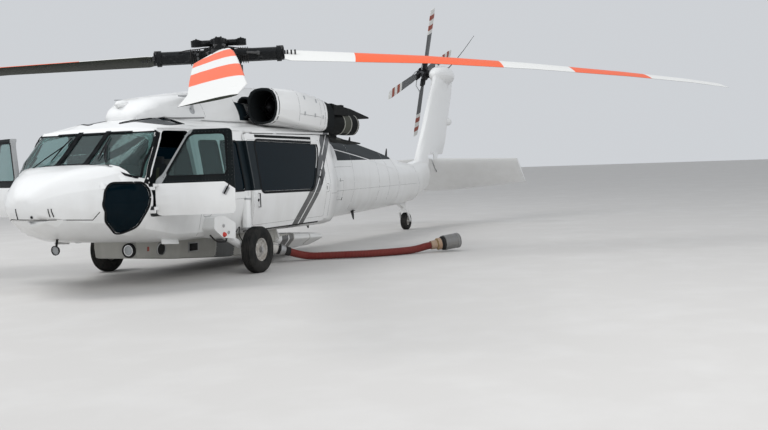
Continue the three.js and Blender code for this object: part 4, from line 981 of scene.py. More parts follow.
class HELI_OT_hull(bpy.types.Operator):
    """White hull from nose to fin, its lining in painted shade and the black top of the tail"""
    bl_idname = "heli.hull"
    bl_label = "Hull"

    def execute(self, context):
        for node, paint, cuts in (("cockpit_shell", "white_paint", ()),
                                  ("cabin_shell", "striped_paint", POST_CUTS)):
            hidden = hides_itself(node)

            # Inner faces and the walls of openings take the near-black lining, which is painted shade; the
            # zone between the windows takes black paint.
            def lining_shade_or_post(centre, normal):
                if normal.dot(outwards(centre)) < -0.12 or hidden(centre, normal):
                    return 1
                return 2 if in_zone(centre, BLACK_POST) else 0
            carried(node, paint, "dark_lining", "black_paint", choose=lining_shade_or_post, cuts=cuts)
        for node in ("nose_bay_door", "tail_pylon", "stabilator"):
            carried(node, "white_paint")
        for node, paint in (("aft_fuselage", "striped_paint"), ("tail_cone", "white_paint")):
            carried(node, paint, "black_paint", choose=lambda centre, _: int(in_zone(centre, BLACK_TOP)),
                    cuts=planes(BLACK_TOP[:2], BLACK_TOP[2:3]))
        carried("roof_fairing", "white_paint", "black_paint", cuts=planes(INLET_SIDE[:2]),
                choose=lambda centre, _: int(in_zone(centre, INLET_SIDE) and abs(centre.y) > 0.5))
        for side, name in SIDES:
            hidden = hides_itself("engine_cowling_" + name)
            axis = at(0, side * INLET_AXIS[0], INLET_AXIS[1])

            # The lip, the inboard faces, the duct, the rear end and faces hidden from outside take the
            # near-black lining: painted shade, which on the rear end stands in for the open end of the
            # nacelle and is partly soot.
            def cowling(centre, normal):
                station = centre.x - ROTOR_STATION
                away = centre - axis
                lip = station > -0.3 and normal.x > 0.5
                inboard = station > 0.2 and abs(centre.y) < 0.75
                duct = station > -0.6 and away.y * normal.y + away.z * normal.z < 0
                return int(lip or inboard or duct or station < -1.30 or hidden(centre, normal))
            carried("engine_cowling_" + name, "white_paint", "dark_lining", choose=cowling,
                    cuts=planes((-1.3, 0.2)))
            carried("engine_block_" + name, "soot", slot="engine_metal")
        return {"FINISHED"}


# Outlines of the windows: seen from the side (x, z), from the front (y, z) and from above (x, y)

CHIN_WINDOW = ((3.82, 1.36), (3.485, 1.35), (3.452, 1.24), (3.48, 1.055), (3.545, 0.8), (3.66, 0.728),
               (3.88, 0.895), (3.965, 1.12), (3.905, 1.29))
GUNNER_WINDOWS = tuple(
    ((x, 1.18), (x - 0.02, 1.87), (x - 0.46, 1.87), (x - 0.46, 1.18)) for x in (2.25, 1.73))
CABIN_WINDOW = ((0.88, 1.145), (0.85, 1.88), (-1.11, 1.84), (-1.06, 1.64), (-0.74, 1.12))
DOOR_WINDOW = ((3.27, 1.43), (2.96, 1.935), (2.54, 1.935), (2.52, 1.43))
CENTRE_PANE = ((-0.195, 1.61), (0.195, 1.61), (0.195, 2.0), (-0.195, 2.0))
SIDE_PANE = ((0.25, 1.61), (0.62, 1.56), (0.975, 1.42), (0.94, 2.0), (0.25, 2.005))
ROOF_WINDOW = ((2.9, 0.24), (2.68, 0.86), (2.33, 0.86), (2.18, 0.56), (2.18, 0.24))
POST_FOOT, POST_HEAD = (0.2225, 1.585), (0.2225, 2.03)
CORNER_POST = ((3.462, 1.345), (3.047, 1.99))


class HELI_OT_glazing(bpy.types.Operator):
    """Tinted panes and their black seals"""
    bl_idname = "heli.glazing"
    bl_label = "Glazing"

    def execute(self, context):
        panes = {"windscreen": "clear_glass"}
        for _, name in SIDES:
            panes["cockpit_door_glass_" + name] = "clear_glass"
            for pane in ("chin_window_", "roof_window_", "gunner_window_", "cabin_door_glass_"):
                panes[pane + name] = "dark_glass"
        for node, glass in panes.items():
            carried(node, glass, smooth=30, slot="tinted_glass")
        hull = Skin(*(node for node in (*panes, "cockpit_shell", "cabin_shell") if "door" not in node))
        bm = bmesh.new()
        ribbon(bm, traced(hull.front, CENTRE_PANE, 0.03, 0.004), 0.032, 0.005, closed=True)
        for side, name in SIDES:
            def front(y, z):
                return hull.front(side * y, z)

            def roof(x, y):
                return hull.top(x, side * y)
            flank = hull.flank(side)
            ribbon(bm, traced(front, SIDE_PANE, 0.03, 0.004), 0.032, 0.005, closed=True)
            ribbon(bm, drawn(front, (POST_FOOT, POST_HEAD)), 0.075, 0.005)
            ribbon(bm, drawn(flank, CORNER_POST), 0.055, 0.004)
            ribbon(bm, traced(roof, ROOF_WINDOW, 0.04, 0.008), 0.03, 0.003, closed=True)
            for outline in (CHIN_WINDOW, *GUNNER_WINDOWS):
                ribbon(bm, traced(flank, outline, 0.05, 0.008), 0.028, 0.003, closed=True)
            door = "cabin_door_" + name
            seal = bmesh.new()
            ribbon(seal, traced(Skin(door).flank(side), CABIN_WINDOW, 0.09, 0.02), 0.036, 0.003, closed=True)
            from_bmesh(door + "_seals", seal, "rubber_seal", body=door, smooth=40)
        from_bmesh("window_seals", bm, "rubber_seal", smooth=40)
        return {"FINISHED"}


# Doors

DOOR_HINGE = (3.42, 1.118)
DOOR_SWING = math.radians(62)
# Planes on the shut cockpit door where its paint changes
BELT = (at(0, 0, 1.335), Z)
REAR_CORNER = (at(2.555, 0, 1.335), Vector((-0.7, 0, 1)).normalized())
FRONT_POST = (at(3.275, 0, 1.43), Vector((0.505, 0, 0.31)).normalized())


def past(point, plane):
    return (point - plane[0]).dot(plane[1]) > 0


class HELI_OT_cockpit_doors(bpy.types.Operator):
    """Cockpit doors: white lower panel, black riveted window frame, bare front post, handle and hinges"""
    bl_idname = "heli.cockpit_doors"
    bl_label = "Cockpit doors"

    def execute(self, context):
        for side, name in SIDES:
            hinge = at(DOOR_HINGE[0], side * DOOR_HINGE[1], 0)
            swing = Matrix.Rotation(-side * DOOR_SWING, 4, "Z")
            turn = Matrix.Translation(hinge) @ swing @ Matrix.Translation(-hinge)
            back = turn.inverted()
            body = "cockpit_door_" + name

            # Inner faces of the lower panel take the near-black lining, painted shade.
            def panelled(centre, normal):
                shut = back @ centre
                inner = (back.to_3x3() @ normal).y * side < -0.2
                if not past(shut, BELT) and not past(shut, REAR_CORNER):
                    return 3 if inner else 0
                return 2 if past(shut, FRONT_POST) and not inner else 1
            edges = (BELT, FRONT_POST, REAR_CORNER)
            carried(body, "white_paint", "riveted_black", "bare_post", "dark_lining", choose=panelled,
                    cuts=[(turn @ point, turn.to_3x3() @ normal) for point, normal in edges])
            flank = Skin(body).flank(side, turn)
            studs(body + "_rivets", [row(flank, start, step, count) for start, step, count in (
                ((2.46, 1.36), (0.05, 0), 18), ((2.46, 1.41), (0.05, 0), 18), ((2.45, 1.42), (0, 0.05), 12),
                ((2.50, 1.42), (0, 0.05), 12), ((2.55, 1.965), (0.05, 0), 8),
                ((3.295, 1.44), (-0.031, 0.05), 11), ((3.26, 1.44), (-0.031, 0.05), 11))], "dark_metal", body,
                  0.04, 0.005)
            bm = bmesh.new()
            ribbon(bm, traced(flank, DOOR_WINDOW, 0.06, 0.014), 0.022, 0.003, closed=True)
            from_bmesh(body + "_window_seal", bm, "rubber_seal", body=body, smooth=40)
            bm = bmesh.new()
            point, normal = flank(2.54, 1.215)
            along = turn.to_3x3() @ Vector((-0.5, 0, 0.85)).normalized()
            turned_base = Matrix((along, normal.cross(along), normal)).transposed().to_4x4()
            base = Matrix.Translation(point) @ turned_base
            block(bm, (-0.045, -0.03, -0.004), (0.06, 0.03, 0.006), base, 0.003, 1)
            tube(bm, [point - along * 0.03 + normal * h for h in (0.0, 0.03)], 0.011, 12)
            lever = ((-0.035, 0.03), (0.03, 0.036), (0.11, 0.03))
            tube(bm, [point + along * ahead + normal * out for ahead, out in lever], [0.009, 0.010, 0.006])
            for z in (1.03, 1.32):
                tube(bm, [hinge + Z * (z - 0.052), hinge + Z * (z + 0.012)], 0.0085, 12, 1)
            from_bmesh(body + "_handle", bm, "black_fitting", "bare_metal", body=body)
        return {"FINISHED"}


class HELI_OT_cabin_doors(bpy.types.Operator):
    """Sliding cabin doors with their rail slot, handles and rollers"""
    bl_idname = "heli.cabin_doors"
    bl_label = "Cabin doors"

    def execute(self, context):
        for side, name in SIDES:
            body = "cabin_door_" + name

            # Inner faces take the near-black lining, painted shade.
            def panelled(centre, normal):
                if normal.y * side < -0.3:
                    return 1
                return 2 if in_zone(centre, BLACK_POST) else 0
            carried(body, "striped_paint", "dark_lining", "black_paint", choose=panelled, cuts=POST_CUTS)
            flank = Skin(body).flank(side)
            bm = bmesh.new()
            # Black strip along the door rail: the rail's slot, its black painted shade inside the slot.
            ribbon(bm, row(flank, (0.83, 1.955), (-0.05, -0.0007), 36), 0.040, 0.006)
            edge = ((1.085, 0.66), (1.085, 1.90), (-1.205, 1.90), (-1.205, 0.66))
            ribbon(bm, traced(flank, edge, 0.05), 0.004, 0.0008, closed=True, index=1)
            from_bmesh(body + "_trim", bm, "rubber_seal", "seam_shadow", body=body, smooth=40)
            bm = bmesh.new()
            roller, half = flank(-1.01, 1.87)[0], Vector((0.10, 0.012, 0.035))
            block(bm, roller - half, roller + half, bevel=0.006, index=1)
            for x, z, height in ((0.98, 1.02, 0.10), (-1.02, 1.30, 0.12)):
                point, normal = flank(x, z)
                out, up = normal * 0.034, Z * height
                tube(bm, [point - up, point - up + out, point + up + out, point + up], 0.008)
                knob(bm, point, normal, 0.022, 0.001, 0.006, 0.010, 20)
            from_bmesh(body + "_fittings", bm, "black_fitting", "white_paint", body=body)
            lines = [row(flank, (x, 0.68), (0, 0.05), 9) for x in (0.98, 1.05, -1.17)]
            lines += [row(flank, (1.03, z), (-0.055, 0), 40) for z in (0.68, 1.06, 1.885)]
            studs(body + "_rivets", lines, "white_paint", body, 0.055, 0.0042)
        return {"FINISHED"}


# Cockpit

def cushion(name, low, high, seams=(), crown=0.03, turn=Matrix(), cuts=10):
    """A stuffed cushion whose sides pull in between its corners, with sewn channels across it."""
    low, high = Vector(low), Vector(high)
    size = high - low
    bm = bmesh.new()
    bmesh.ops.create_cube(bm, size=2.0)
    bmesh.ops.subdivide_edges(bm, edges=bm.edges[:], cuts=cuts, use_grid_fill=True)
    for vert in bm.verts:
        u, v, w = vert.co
        round_u, round_v = 1 - u * u, 1 - v * v
        edge = max(abs(u), abs(v))
        soft = (1 - edge ** 6) ** 0.5 if edge < 1 else 0.0
        z = w * (0.45 + 0.55 * soft)
        if w > 0:
            rise = crown * round_u * round_v / (size.z / 2)
            groove = sum(math.exp(-((u - s) / 0.045) ** 2) for s in seams) * 0.16
            z += rise * w - groove * w * round_v ** 0.3
        pulled = Vector((u * (0.95 + 0.05 * round_v), v * (0.95 + 0.05 * round_u), z * 0.85))
        vert.co = (low + high) / 2 + pulled * size / 2
    bmesh.ops.transform(bm, matrix=turn, verts=bm.verts)
    piece = from_bmesh(name, bm, "seat_cloth", smooth=None, slot="seat_fabric")
    soft = piece.modifiers.new("soft", "SUBSURF")
    soft.levels = 1
    soft.render_levels = 1


class HELI_OT_cockpit(bpy.types.Operator):
    """Crew seats, belts, instrument panel, sticks and pedals"""
    bl_idname = "heli.cockpit"
    bl_label = "Cockpit"

    def execute(self, context):
        upright = Matrix.Rotation(math.radians(-90), 4, "Y")
        for side, name in SIDES:
            y = side * 0.49
            bm = bmesh.new()
            slab(bm, (2.50, 2.98), y, 0.225, (0.90, 0.935), 0.012)
            for out in (-0.205, 0.205):
                for x in ((2.50, 2.55), (2.88, 2.93)):
                    slab(bm, x, y + out, 0.012, (0.70, 0.91))
                slab(bm, (2.46, 2.96), y + out, 0.014, (0.645, 0.705))
            recline = Matrix.Translation(at(2.53, y, 0.96)) @ Matrix.Rotation(math.radians(-9), 4, "Y")
            block(bm, (-0.03, -0.225, 0.0), (0.0, 0.225, 0.70), recline, 0.02)
            for out in (-0.222, 0.222):
                block(bm, (-0.03, out - 0.012, 0.06), (0.11, out + 0.012, 0.62), recline, 0.01)
            from_bmesh("seat_frame_" + name, bm, "seat_shell", replaces=("crew_seat_" + name,),
                       slot="seat_fabric")
            cushion("seat_cushion_" + name, at(2.54, y - 0.2, 0.93), at(2.99, y + 0.2, 1.02), (-0.35, 0.2))
            cushion("seat_back_" + name, (-0.22, -0.19, -0.05), (0.30, 0.19, 0.05), (-0.4, 0.05, 0.5),
                    turn=recline @ Matrix.Translation((0.045, 0, 0.33)) @ upright)
            cushion("headrest_" + name, (-0.07, -0.12, -0.035), (0.07, 0.12, 0.035), crown=0.015, cuts=6,
                    turn=recline @ Matrix.Translation((0.04, 0, 0.66)) @ upright)
            bm = bmesh.new()
            away = (recline.to_3x3() @ Vector((1, 0, 0.1))).normalized()
            for out in (-0.07, 0.07):
                belt = turned(recline, (0.02, out, 0.60), (0.10, out, 0.56), (0.125, out * 1.15, 0.35),
                              (0.13, out * 1.5, 0.16))
                ribbon(bm, [(point, away) for point in resampled(belt, 0.04)], 0.045, 0.002, depth=0.001)
            from_bmesh("seat_belts_" + name, bm, "webbing", smooth=50)
            bm = bmesh.new()
            stick = [at(x, y, z) for x, z in ((3.10, 0.66), (3.12, 0.80), (3.05, 0.98), (3.06, 1.10))]
            tube(bm, resampled(stick, 0.05), 0.014)
            ball(bm, at(3.065, y, 1.14), 0.03, (0.8, 0.8, 1.7))
            lever = [at(x, y - 0.25, z) for x, z in ((2.62, 0.74), (2.86, 0.93), (3.0, 1.0))]
            tube(bm, lever, [0.014, 0.014, 0.022])
            for out in (-0.09, 0.09):
                tube(bm, [at(3.50, y + out, 0.78), at(3.46, y + out, 0.86)], 0.012, 8)
                slab(bm, (3.43, 3.45), y + out, 0.045, (0.85, 0.96))
            from_bmesh("controls_" + name, bm, "black_fitting")
        carried("instrument_panel", "panel_black", slot="cockpit_black", bevel=0.01)
        panel = Skin("instrument_panel")
        bm = bmesh.new()
        for y in (-0.62, -0.40, -0.18, 0.0, 0.18, 0.40, 0.62):
            hit = panel.hit(at(2.6, y, 1.36), X)
            wide = 0.06 if abs(y) < 0.2 else 0.085
            plate(bm, hit, wide + 0.012, 0.10, -0.002, 0.012, 0.004, 1)
            plate(bm, hit, wide, 0.085, 0.008, 0.0145, 0.002)
            for k in range(5 if hit else 0):
                key = -wide + 0.012 + k * wide * 0.36
                block(bm, (key, -0.096, 0.01), (key + 0.01, -0.089, 0.016), facing(hit), 0.001, 2)
        for i in range(7):
            for j in (-0.12, -0.04, 0.04, 0.12):
                hit = panel.hit(at(2.66 + i * 0.075, j, 1.5), -Z)
                if hit:
                    lathe(bm, [(0.012, -0.002, 1), (0.012, 0.012, 2), (0.008, 0.014, 2), (0, 0.014, 2)],
                          hit[0], Z, 12)
        from_bmesh("panel_screens", bm, "screen_glass", "black_fitting", "dial_marks")
        return {"FINISHED"}


# Nose

class HELI_OT_nose(bpy.types.Operator):
    """Nose seams and latches, wipers and the searchlight"""
    bl_idname = "heli.nose"
    bl_label = "Nose fittings"

    def execute(self, context):
        skin = Skin("nose_bay_door", "cockpit_shell")
        bm = bmesh.new()
        for y, low, high in ((-0.09, 0.97, 1.10), (0.315, 0.99, 1.09), (0.345, 0.99, 1.09)):
            ribbon(bm, drawn(skin.front, ((y, low), (y, high))), 0.011, 0.006)
        for line in (((-0.24, 0.97), (0.089, 0.965), (0.379, 0.95), (0.635, 0.929), (0.724, 1.023)),
                     ((-0.24, 0.97), (-0.379, 0.95), (-0.635, 0.929), (-0.724, 1.023))):
            ribbon(bm, drawn(skin.front, line, 0.03), 0.010, 0.0015)
        catch = skin.front(0.125, 0.995)
        lathe(bm, [(0.022, -0.004, 1), (0.022, 0.004, 1), (0.017, 0.004), (0, 0.003)], *catch, 24)
        from_bmesh("nose_latches", bm, "black_fitting", "bare_metal")
        bm = bmesh.new()
        glass = Skin("windscreen", "cockpit_shell")
        for side, _ in SIDES:
            pivot, normal = glass.front(side * 0.62, 1.545)
            blade = ((0.37, 1.655), (0.31, 1.95), (0.34, 1.83))
            low, high, grip = (glass.front(side * y, z) for y, z in blade)
            lathe(bm, [(0.03, -0.01), (0.03, 0.022), (0.018, 0.034), (0, 0.034)], pivot, normal, 16)
            for shift in (Vector(), Vector((0, 0.022, 0.012))):
                middle = pivot.lerp(grip[0], 0.5) + normal * 0.06 + shift
                end = grip[0] + grip[1] * 0.026 + shift
                tube(bm, [pivot + normal * 0.028 + shift, middle, end], 0.007, 8)
            tube(bm, [low[0] + low[1] * 0.016, grip[0] + grip[1] * 0.022, high[0] + high[1] * 0.016],
                 [0.007, 0.010, 0.007], 8)
        from_bmesh("wipers", bm, "black_fitting")
        bm = bmesh.new()
        lathe(bm, [(0, -0.018), (0.05, -0.016), (0.060, 0.0), (0.061, 0.018), (0.055, 0.0185),
                   (0.053, 0.006, 1), (0, 0.012, 1)], at(4.03, 0.06, 0.56), (1, 0, -0.1))
        stalk = [at(x, 0.06, z) for x, z in ((4.02, 0.60), (4.0, 0.68), (3.985, 0.735))]
        tube(bm, stalk, [0.014, 0.015, 0.02], 12)
        slab(bm, (3.955, 4.015), 0.06, 0.035, (0.70, 0.725))
        from_bmesh("searchlight_finish", bm, "black_fitting", "lamp_lens", replaces=("searchlight",),
                   slot="lamp")
        return {"FINISHED"}


# Roof fairing, engines and exhausts

class HELI_OT_roof(bpy.types.Operator):
    """Fairing scoop, probes, inlet lips, cowling seams and latches"""
    bl_idname = "heli.roof"
    bl_label = "Roof and engine fittings"

    def execute(self, context):
        fairing = Skin("roof_fairing", "cockpit_shell", "cabin_shell")
        bm = bmesh.new()
        point = fairing.top(2.36, -0.10)[0]
        ball(bm, point - Z * 0.01, 0.085, (1.7, 1.0, 0.75), 20, 12)
        knob(bm, point + X * 0.10, (0.9, 0, 0.4), 0.035, -0.02, 0.02, 0.034, 16)
        from_bmesh("roof_scoop", bm, "white_paint")
        bm = bmesh.new()
        for side, _ in SIDES:
            point, normal = fairing.top(1.61, side * 0.52)
            head = point + Vector((0.02, side * 0.02, 0.19))
            tube(bm, [point - Z * 0.02, point + Vector((0.01, side * 0.01, 0.10)), head],
                 [0.022, 0.018, 0.016], 12)
            probe = ((-0.05, -0.005), (0, 0), (0.16, 0.004), (0.33, 0.004))
            tube(bm, [head + Vector((x, 0, z)) for x, z in probe], [0.012, 0.02, 0.014, 0.009], 12)
            lathe(bm, [(0.05, -0.006), (0.05, 0.004), (0.02, 0.012), (0, 0.012)], point, normal, 20)
        from_bmesh("air_speed_probes", bm, "bare_metal")
        bm = bmesh.new()
        for side, _ in SIDES:
            flank = fairing.flank(side)
            foot = ((2.18, 2.21), (1.95, 2.215), (1.7, 2.22), (1.5, 2.225), (1.38, 2.23))
            ribbon(bm, [flank(x, z) for x, z in foot], 0.02, 0.004)
            for x in (1.35, 0.45):
                ribbon(bm, row(flank, (x, 2.24), (0, 0.04), 9), 0.005, 0.001)
        ribbon(bm, row(fairing.top, (1.35, -0.34), (0, 0.068), 11), 0.005, 0.001)
        from_bmesh("fairing_seams", bm, "seam_shadow", smooth=40)
        for side, name in SIDES:
            cowling = Skin("engine_cowling_" + name)
            flank = cowling.flank(side)
            bm = bmesh.new()

            def around(x, z, angle):
                reach = Vector((0, side * math.cos(angle), math.sin(angle)))
                return cowling.hit(at(x, side * INLET_AXIS[0], z) + reach * 0.9, -reach)
            ribbon(bm, [around(0.31, 2.412, math.pi * k / 20) for k in range(40)], 0.016, 0.002, closed=True)
            for x, z, width in ((-0.28, 2.38, 0.006), (-1.02, 2.38, 0.006), (-1.2, 2.33, 0.010)):
                seam = met(around(x, z, -2.0 + 3.7 * k / 29) for k in range(30))
                ribbon(bm, [hit for hit in seam if hit[0].y * side > 0.7], width, 0.001, index=1)
            ribbon(bm, row(flank, (-0.30, 2.30), (-0.06, -0.003), 13), 0.006, 0.001, index=1)
            for x, z in ((-0.45, 2.31), (-0.8, 2.29), (-1.1, 2.27), (-0.5, 2.56), (-0.9, 2.52)):
                plate(bm, flank(x, z), 0.016, 0.03, -0.003, 0.006, 0.002, 2)
            from_bmesh("cowling_trim_" + name, bm, "inlet_lip", "seam_shadow", "bare_metal", smooth=40)
            bm = bmesh.new()
            centre = at(0.02, side * INLET_AXIS[0], INLET_AXIS[1])
            lathe(bm, [(0, 0.19), (0.045, 0.16), (0.085, 0.08), (0.105, -0.02), (0.11, -0.14), (0, -0.14)],
                  centre, X, 28)
            for k in range(12):
                angle = 2 * math.pi * k / 12
                away = Vector((-0.12, 0.155 * math.cos(angle), 0.155 * math.sin(angle)))
                vane = Matrix.Rotation(angle, 4, "X") @ Matrix.Rotation(0.5, 4, "Y")
                turn = Matrix.Translation(centre + away) @ vane
                block(bm, (-0.03, -0.05, -0.003), (0.03, 0.05, 0.003), turn, 0.002, 1)
            lathe(bm, [(0.20, 0), (0.212, 0.02), (0.212, -0.02), (0.20, 0)], centre - X * 0.1, X, index=1)
            from_bmesh("inlet_fan_" + name, bm, "black_fitting", "dark_metal")
        return {"FINISHED"}


class HELI_OT_exhausts(bpy.types.Operator):
    """Sooty exhaust barrels with pale rings, straps and the shields around them"""
    bl_idname = "heli.exhausts"
    bl_label = "Exhausts"

    def execute(self, context):
        olive_start, olive_end = 0.34, 0.52
        clear_of_door = 1.993
        for side, name in SIDES:
            front, rear = at(-1.69, side * 0.935, 2.2), at(-2.4, side * 1.1, 2.165)
            along = (rear - front).normalized()

            def heated(centre, normal):
                ahead = (centre - front).dot(along)
                away = (centre - front - along * ahead).length
                banded = olive_start < ahead < olive_end and away > 0.165
                return int(banded and normal.z > -0.9 and centre.z < 2.37)
            carried("exhaust_" + name, "soot", "heat_paint", choose=heated, slot="exhaust_metal",
                    cuts=[(front + along * mark, along) for mark in (olive_start, olive_end)])
            bm = bmesh.new()
            for mark, radius in ((olive_start, 0.1895), (olive_end, 0.1895), (0.70, 0.187)):
                collar(bm, front + along * mark, along, radius, 0.012, 0.011, 0.008, 48)
            for vert in bm.verts:
                if abs(vert.co.y) > 0.99:
                    vert.co.z = max(vert.co.z, clear_of_door)
            from_bmesh("exhaust_rings_" + name, bm, "pale_ring")
            skin = Skin("exhaust_" + name)
            bm = bmesh.new()
            for x, y in ((-1.72, 1.05), (-1.86, 1.02), (-2.03, 1.0), (-1.95, 1.12)):
                plate(bm, skin.top(x, side * y), 0.05, 0.045, -0.004, 0.028, 0.008)
            for y in (0.80, 0.95, 1.13):
                strap = met(row(skin.top, (-1.66, side * y), (-0.07, 0), 18))
                hits = [hit for hit in strap if hit[1].z > 0.6]
                if len(hits) > 2:
                    ribbon(bm, hits, 0.014, 0.006)
            from_bmesh("exhaust_straps_" + name, bm, "soot")
            bm = bmesh.new()
            for k in range(9):
                collar(bm, front + along * (0.04 + k * 0.07), along, 0.150, 0.012, 0.004, 0.004, 32)
            from_bmesh("exhaust_liner_" + name, bm, "soot")
        return {"FINISHED"}


# Main rotor

ROTOR_CENTRE = at(0, 0, 3.3)
MAST_TURN = Matrix.Translation(ROTOR_CENTRE) @ Matrix.Rotation(math.radians(3), 4, "Y")
BLADE_ANGLES = tuple(math.radians(a) for a in (32.5, 121, 211, 301))


class HELI_OT_rotor_head(bpy.types.Operator):
    """Rotor head: swashplate, links, dampers, bearings, bolts and the weights on top"""
    bl_idname = "heli.rotor_head"
    bl_label = "Rotor head"

    def execute(self, context):
        carried("main_rotor_hub", "rotor_black", slot="rotor_head", bevel=0.006)
        steel, rubber = 1, 2
        bm = bmesh.new()
        for k in range(5):
            z, edge = -0.345 + k * 0.022, 0.285 - k * 0.02
            lathe(bm, [(0.13, z), (edge, z), (edge + 0.005, z + 0.008), (edge, z + 0.016), (0.13, z + 0.016)],
                  sides=36, index=steel)
        lathe(bm, [(0.13, -0.445), (0.292, -0.445), (0.297, -0.438), (0.297, -0.425), (0.13, -0.42)],
              sides=48, index=steel)
        lathe(bm, [(0.13, 0.075), (0.2, 0.078), (0.2, 0.092), (0.15, 0.10), (0.13, 0.13)], sides=36)
        lathe(bm, [(0.10, 0.214), (0.12, 0.214), (0.12, 0.225), (0.06, 0.235), (0.055, 0.25), (0, 0.255)],
              sides=28, index=steel)
        for angle in BLADE_ANGLES:
            spoke = Matrix.Rotation(angle, 4, "Z")
            out = spoke.to_3x3() @ X
            for r in (0.30, 0.335, 0.37, 0.405, 0.44):
                lathe(bm, [(0.10, -0.006), (0.128, -0.006), (0.130, 0.0), (0.128, 0.006), (0.10, 0.006)],
                      spoke @ Vector((r, 0, -0.045)), out, 20, rubber)
            lathe(bm, [(0.10, -0.04), (0.125, -0.035), (0.125, 0.035), (0.10, 0.04)],
                  spoke @ Vector((0.93, 0, -0.045)), out, 20)
            # Lead-lag damper beside the spindle
            tube(bm, turned(spoke, (0.24, -0.20, -0.01), (0.42, -0.20, -0.015)), 0.048, 16)
            tube(bm, turned(spoke, (0.42, -0.20, -0.015), (0.60, -0.165, -0.03)), 0.018, 10, steel)
            ball(bm, spoke @ Vector((0.60, -0.16, -0.03)), 0.032, segments=12, rings=8, index=steel)
            block(bm, (0.56, -0.17, -0.06), (0.64, -0.08, -0.005), spoke, 0.012)
            # Pitch link with its rod ends
            low, high = turned(spoke, (0.27, 0.19, -0.39), (0.33, 0.20, -0.02))
            tube(bm, [low.lerp(high, t) for t in (0.08, 0.92)], 0.0245, 12, steel)
            for t, axis in ((0, out), (0.16, high - low), (0.84, high - low), (1, out)):
                knob(bm, low.lerp(high, t), axis, 0.033, -0.018, 0.018, 0.018, index=steel)
            # Pins and nuts of the blade's fold lugs
            for y in (-0.06, 0.06):
                tube(bm, turned(spoke, (0.97, y, -0.145), (0.97, y, 0.055)), 0.022, 12, steel)
                knob(bm, spoke @ Vector((0.97, y, 0.05)), Z, 0.034, 0, 0.022, 0.026, index=steel)
            # Weights on top
            lathe(bm, [(0, 0.048), (0.05, 0.052), (0.055, 0.060), (0.03, 0.066), (0, 0.066)],
                  spoke @ Vector((0.345, 0, 0.16)), Z, 20, steel)
            for y in (-0.035, 0.035):
                knob(bm, spoke @ Vector((0.345, y, 0.16)), Z, 0.014, 0.05, 0.075, 0.077, index=steel)
            lead = turned(spoke, (0.20, 0.05, 0.09), (0.32, 0.11, 0.07), (0.5, 0.10, 0.06),
                          (0.62, 0.07, 0.04))
            tube(bm, lead, 0.008, 8, rubber)
        # Scissors and their fittings under the head
        for k in range(2):
            turn = Matrix.Rotation(math.radians(76 + 180 * k), 4, "Z")
            block(bm, (0.15, -0.03, -0.33), (0.26, 0.03, -0.30), turn, 0.008)
            tube(bm, turned(turn, (0.14, 0, -0.10), (0.27, 0, -0.20), (0.20, 0, -0.33)), 0.02, 8)
        bmesh.ops.transform(bm, matrix=MAST_TURN, verts=bm.verts)
        from_bmesh("rotor_head_fittings", bm, "rotor_black", "oily_steel", "bearing_rubber",
                   body="main_rotor")
        for name, ring, height, count, size in (("hub", 0.205, 0.082, 20, 0.014),
                                                ("cap", 0.145, 0.188, 16, 0.011),
                                                ("swashplate", 0.24, -0.342, 16, 0.010)):
            bolt_ring(name + "_bolts", MAST_TURN @ (Z * height), MAST_TURN.to_3x3() @ Z, count, ring, size,
                      0.02, "main_rotor", "oily_steel")
        return {"FINISHED"}


class HELI_OT_blades(bpy.types.Operator):
    """Main blades: banded tops, dark undersides and root fittings"""
    bl_idname = "heli.blades"
    bl_label = "Main blades"

    def execute(self, context):
        bm = bmesh.new()
        for i, angle in enumerate(BLADE_ANGLES, 1):
            carried(f"main_blade_{i}", "blade_top", "blade_underside", smooth=50, slot="blade_paint",
                    choose=lambda _, normal: int(normal.z <= 0))
            spoke = Matrix.Rotation(angle, 4, "Z")
            for y in (-0.11, 0.07):
                for r in (1.06, 1.12, 1.18):
                    tube(bm, turned(spoke, (r, y, -0.10), (r, y, -0.004)), 0.014, 8)
            block(bm, (0.99, -0.13, -0.075), (1.03, 0.13, -0.005), spoke, 0.01)
        bmesh.ops.transform(bm, matrix=MAST_TURN, verts=bm.verts)
        from_bmesh("blade_root_bolts", bm, "dark_metal", body="main_rotor")
        return {"FINISHED"}


# Tail

TAIL_HUB = at(-9.93, -0.37, 3.587)
CANT = math.radians(20)
TAIL_AXIS = Vector((0, -math.cos(CANT), math.sin(CANT)))
TAIL_UP = Vector((0, math.sin(CANT), math.cos(CANT)))
TAIL_TURN = Matrix.Translation(TAIL_HUB) @ Matrix((TAIL_UP, -X, TAIL_AXIS)).transposed().to_4x4()
# Where a pale strip runs along the tail cone's crease: a painted highlight of the crease's lit edge.
TAIL_CREASE_HIGHLIGHT = ((-2.93, 1.766), (-3.302, 1.726), (-3.694, 1.682), (-4.192, 1.622), (-4.627, 1.567),
               (-5.24, 1.475), (-5.985, 1.373))


def blade_antenna(bm, foot, height):
    """A swept blade antenna that stands on the skin."""
    rows = []
    for t, chord, half in ((-0.08, 0.15, 0.012), (0.0, 0.15, 0.012), (0.7, 0.09, 0.008), (1.0, 0.05, 0.003)):
        centre = foot + Vector((-0.05 * max(t, 0), 0, height * t))
        rows.append([bm.verts.new(centre + Vector((chord * u, half * v, 0))) for u, v in (
            (0.5, 0), (0.2, 1), (-0.25, 0.8), (-0.5, 0), (-0.25, -0.8), (0.2, -1))])
    for a, b in zip(rows, rows[1:]):
        walls(bm, a, b)
    ends(bm, rows)
    lathe(bm, [(0, -0.004), (0.06, -0.004), (0.06, 0.004), (0, 0.007)], foot, (0, 0, height), 16)


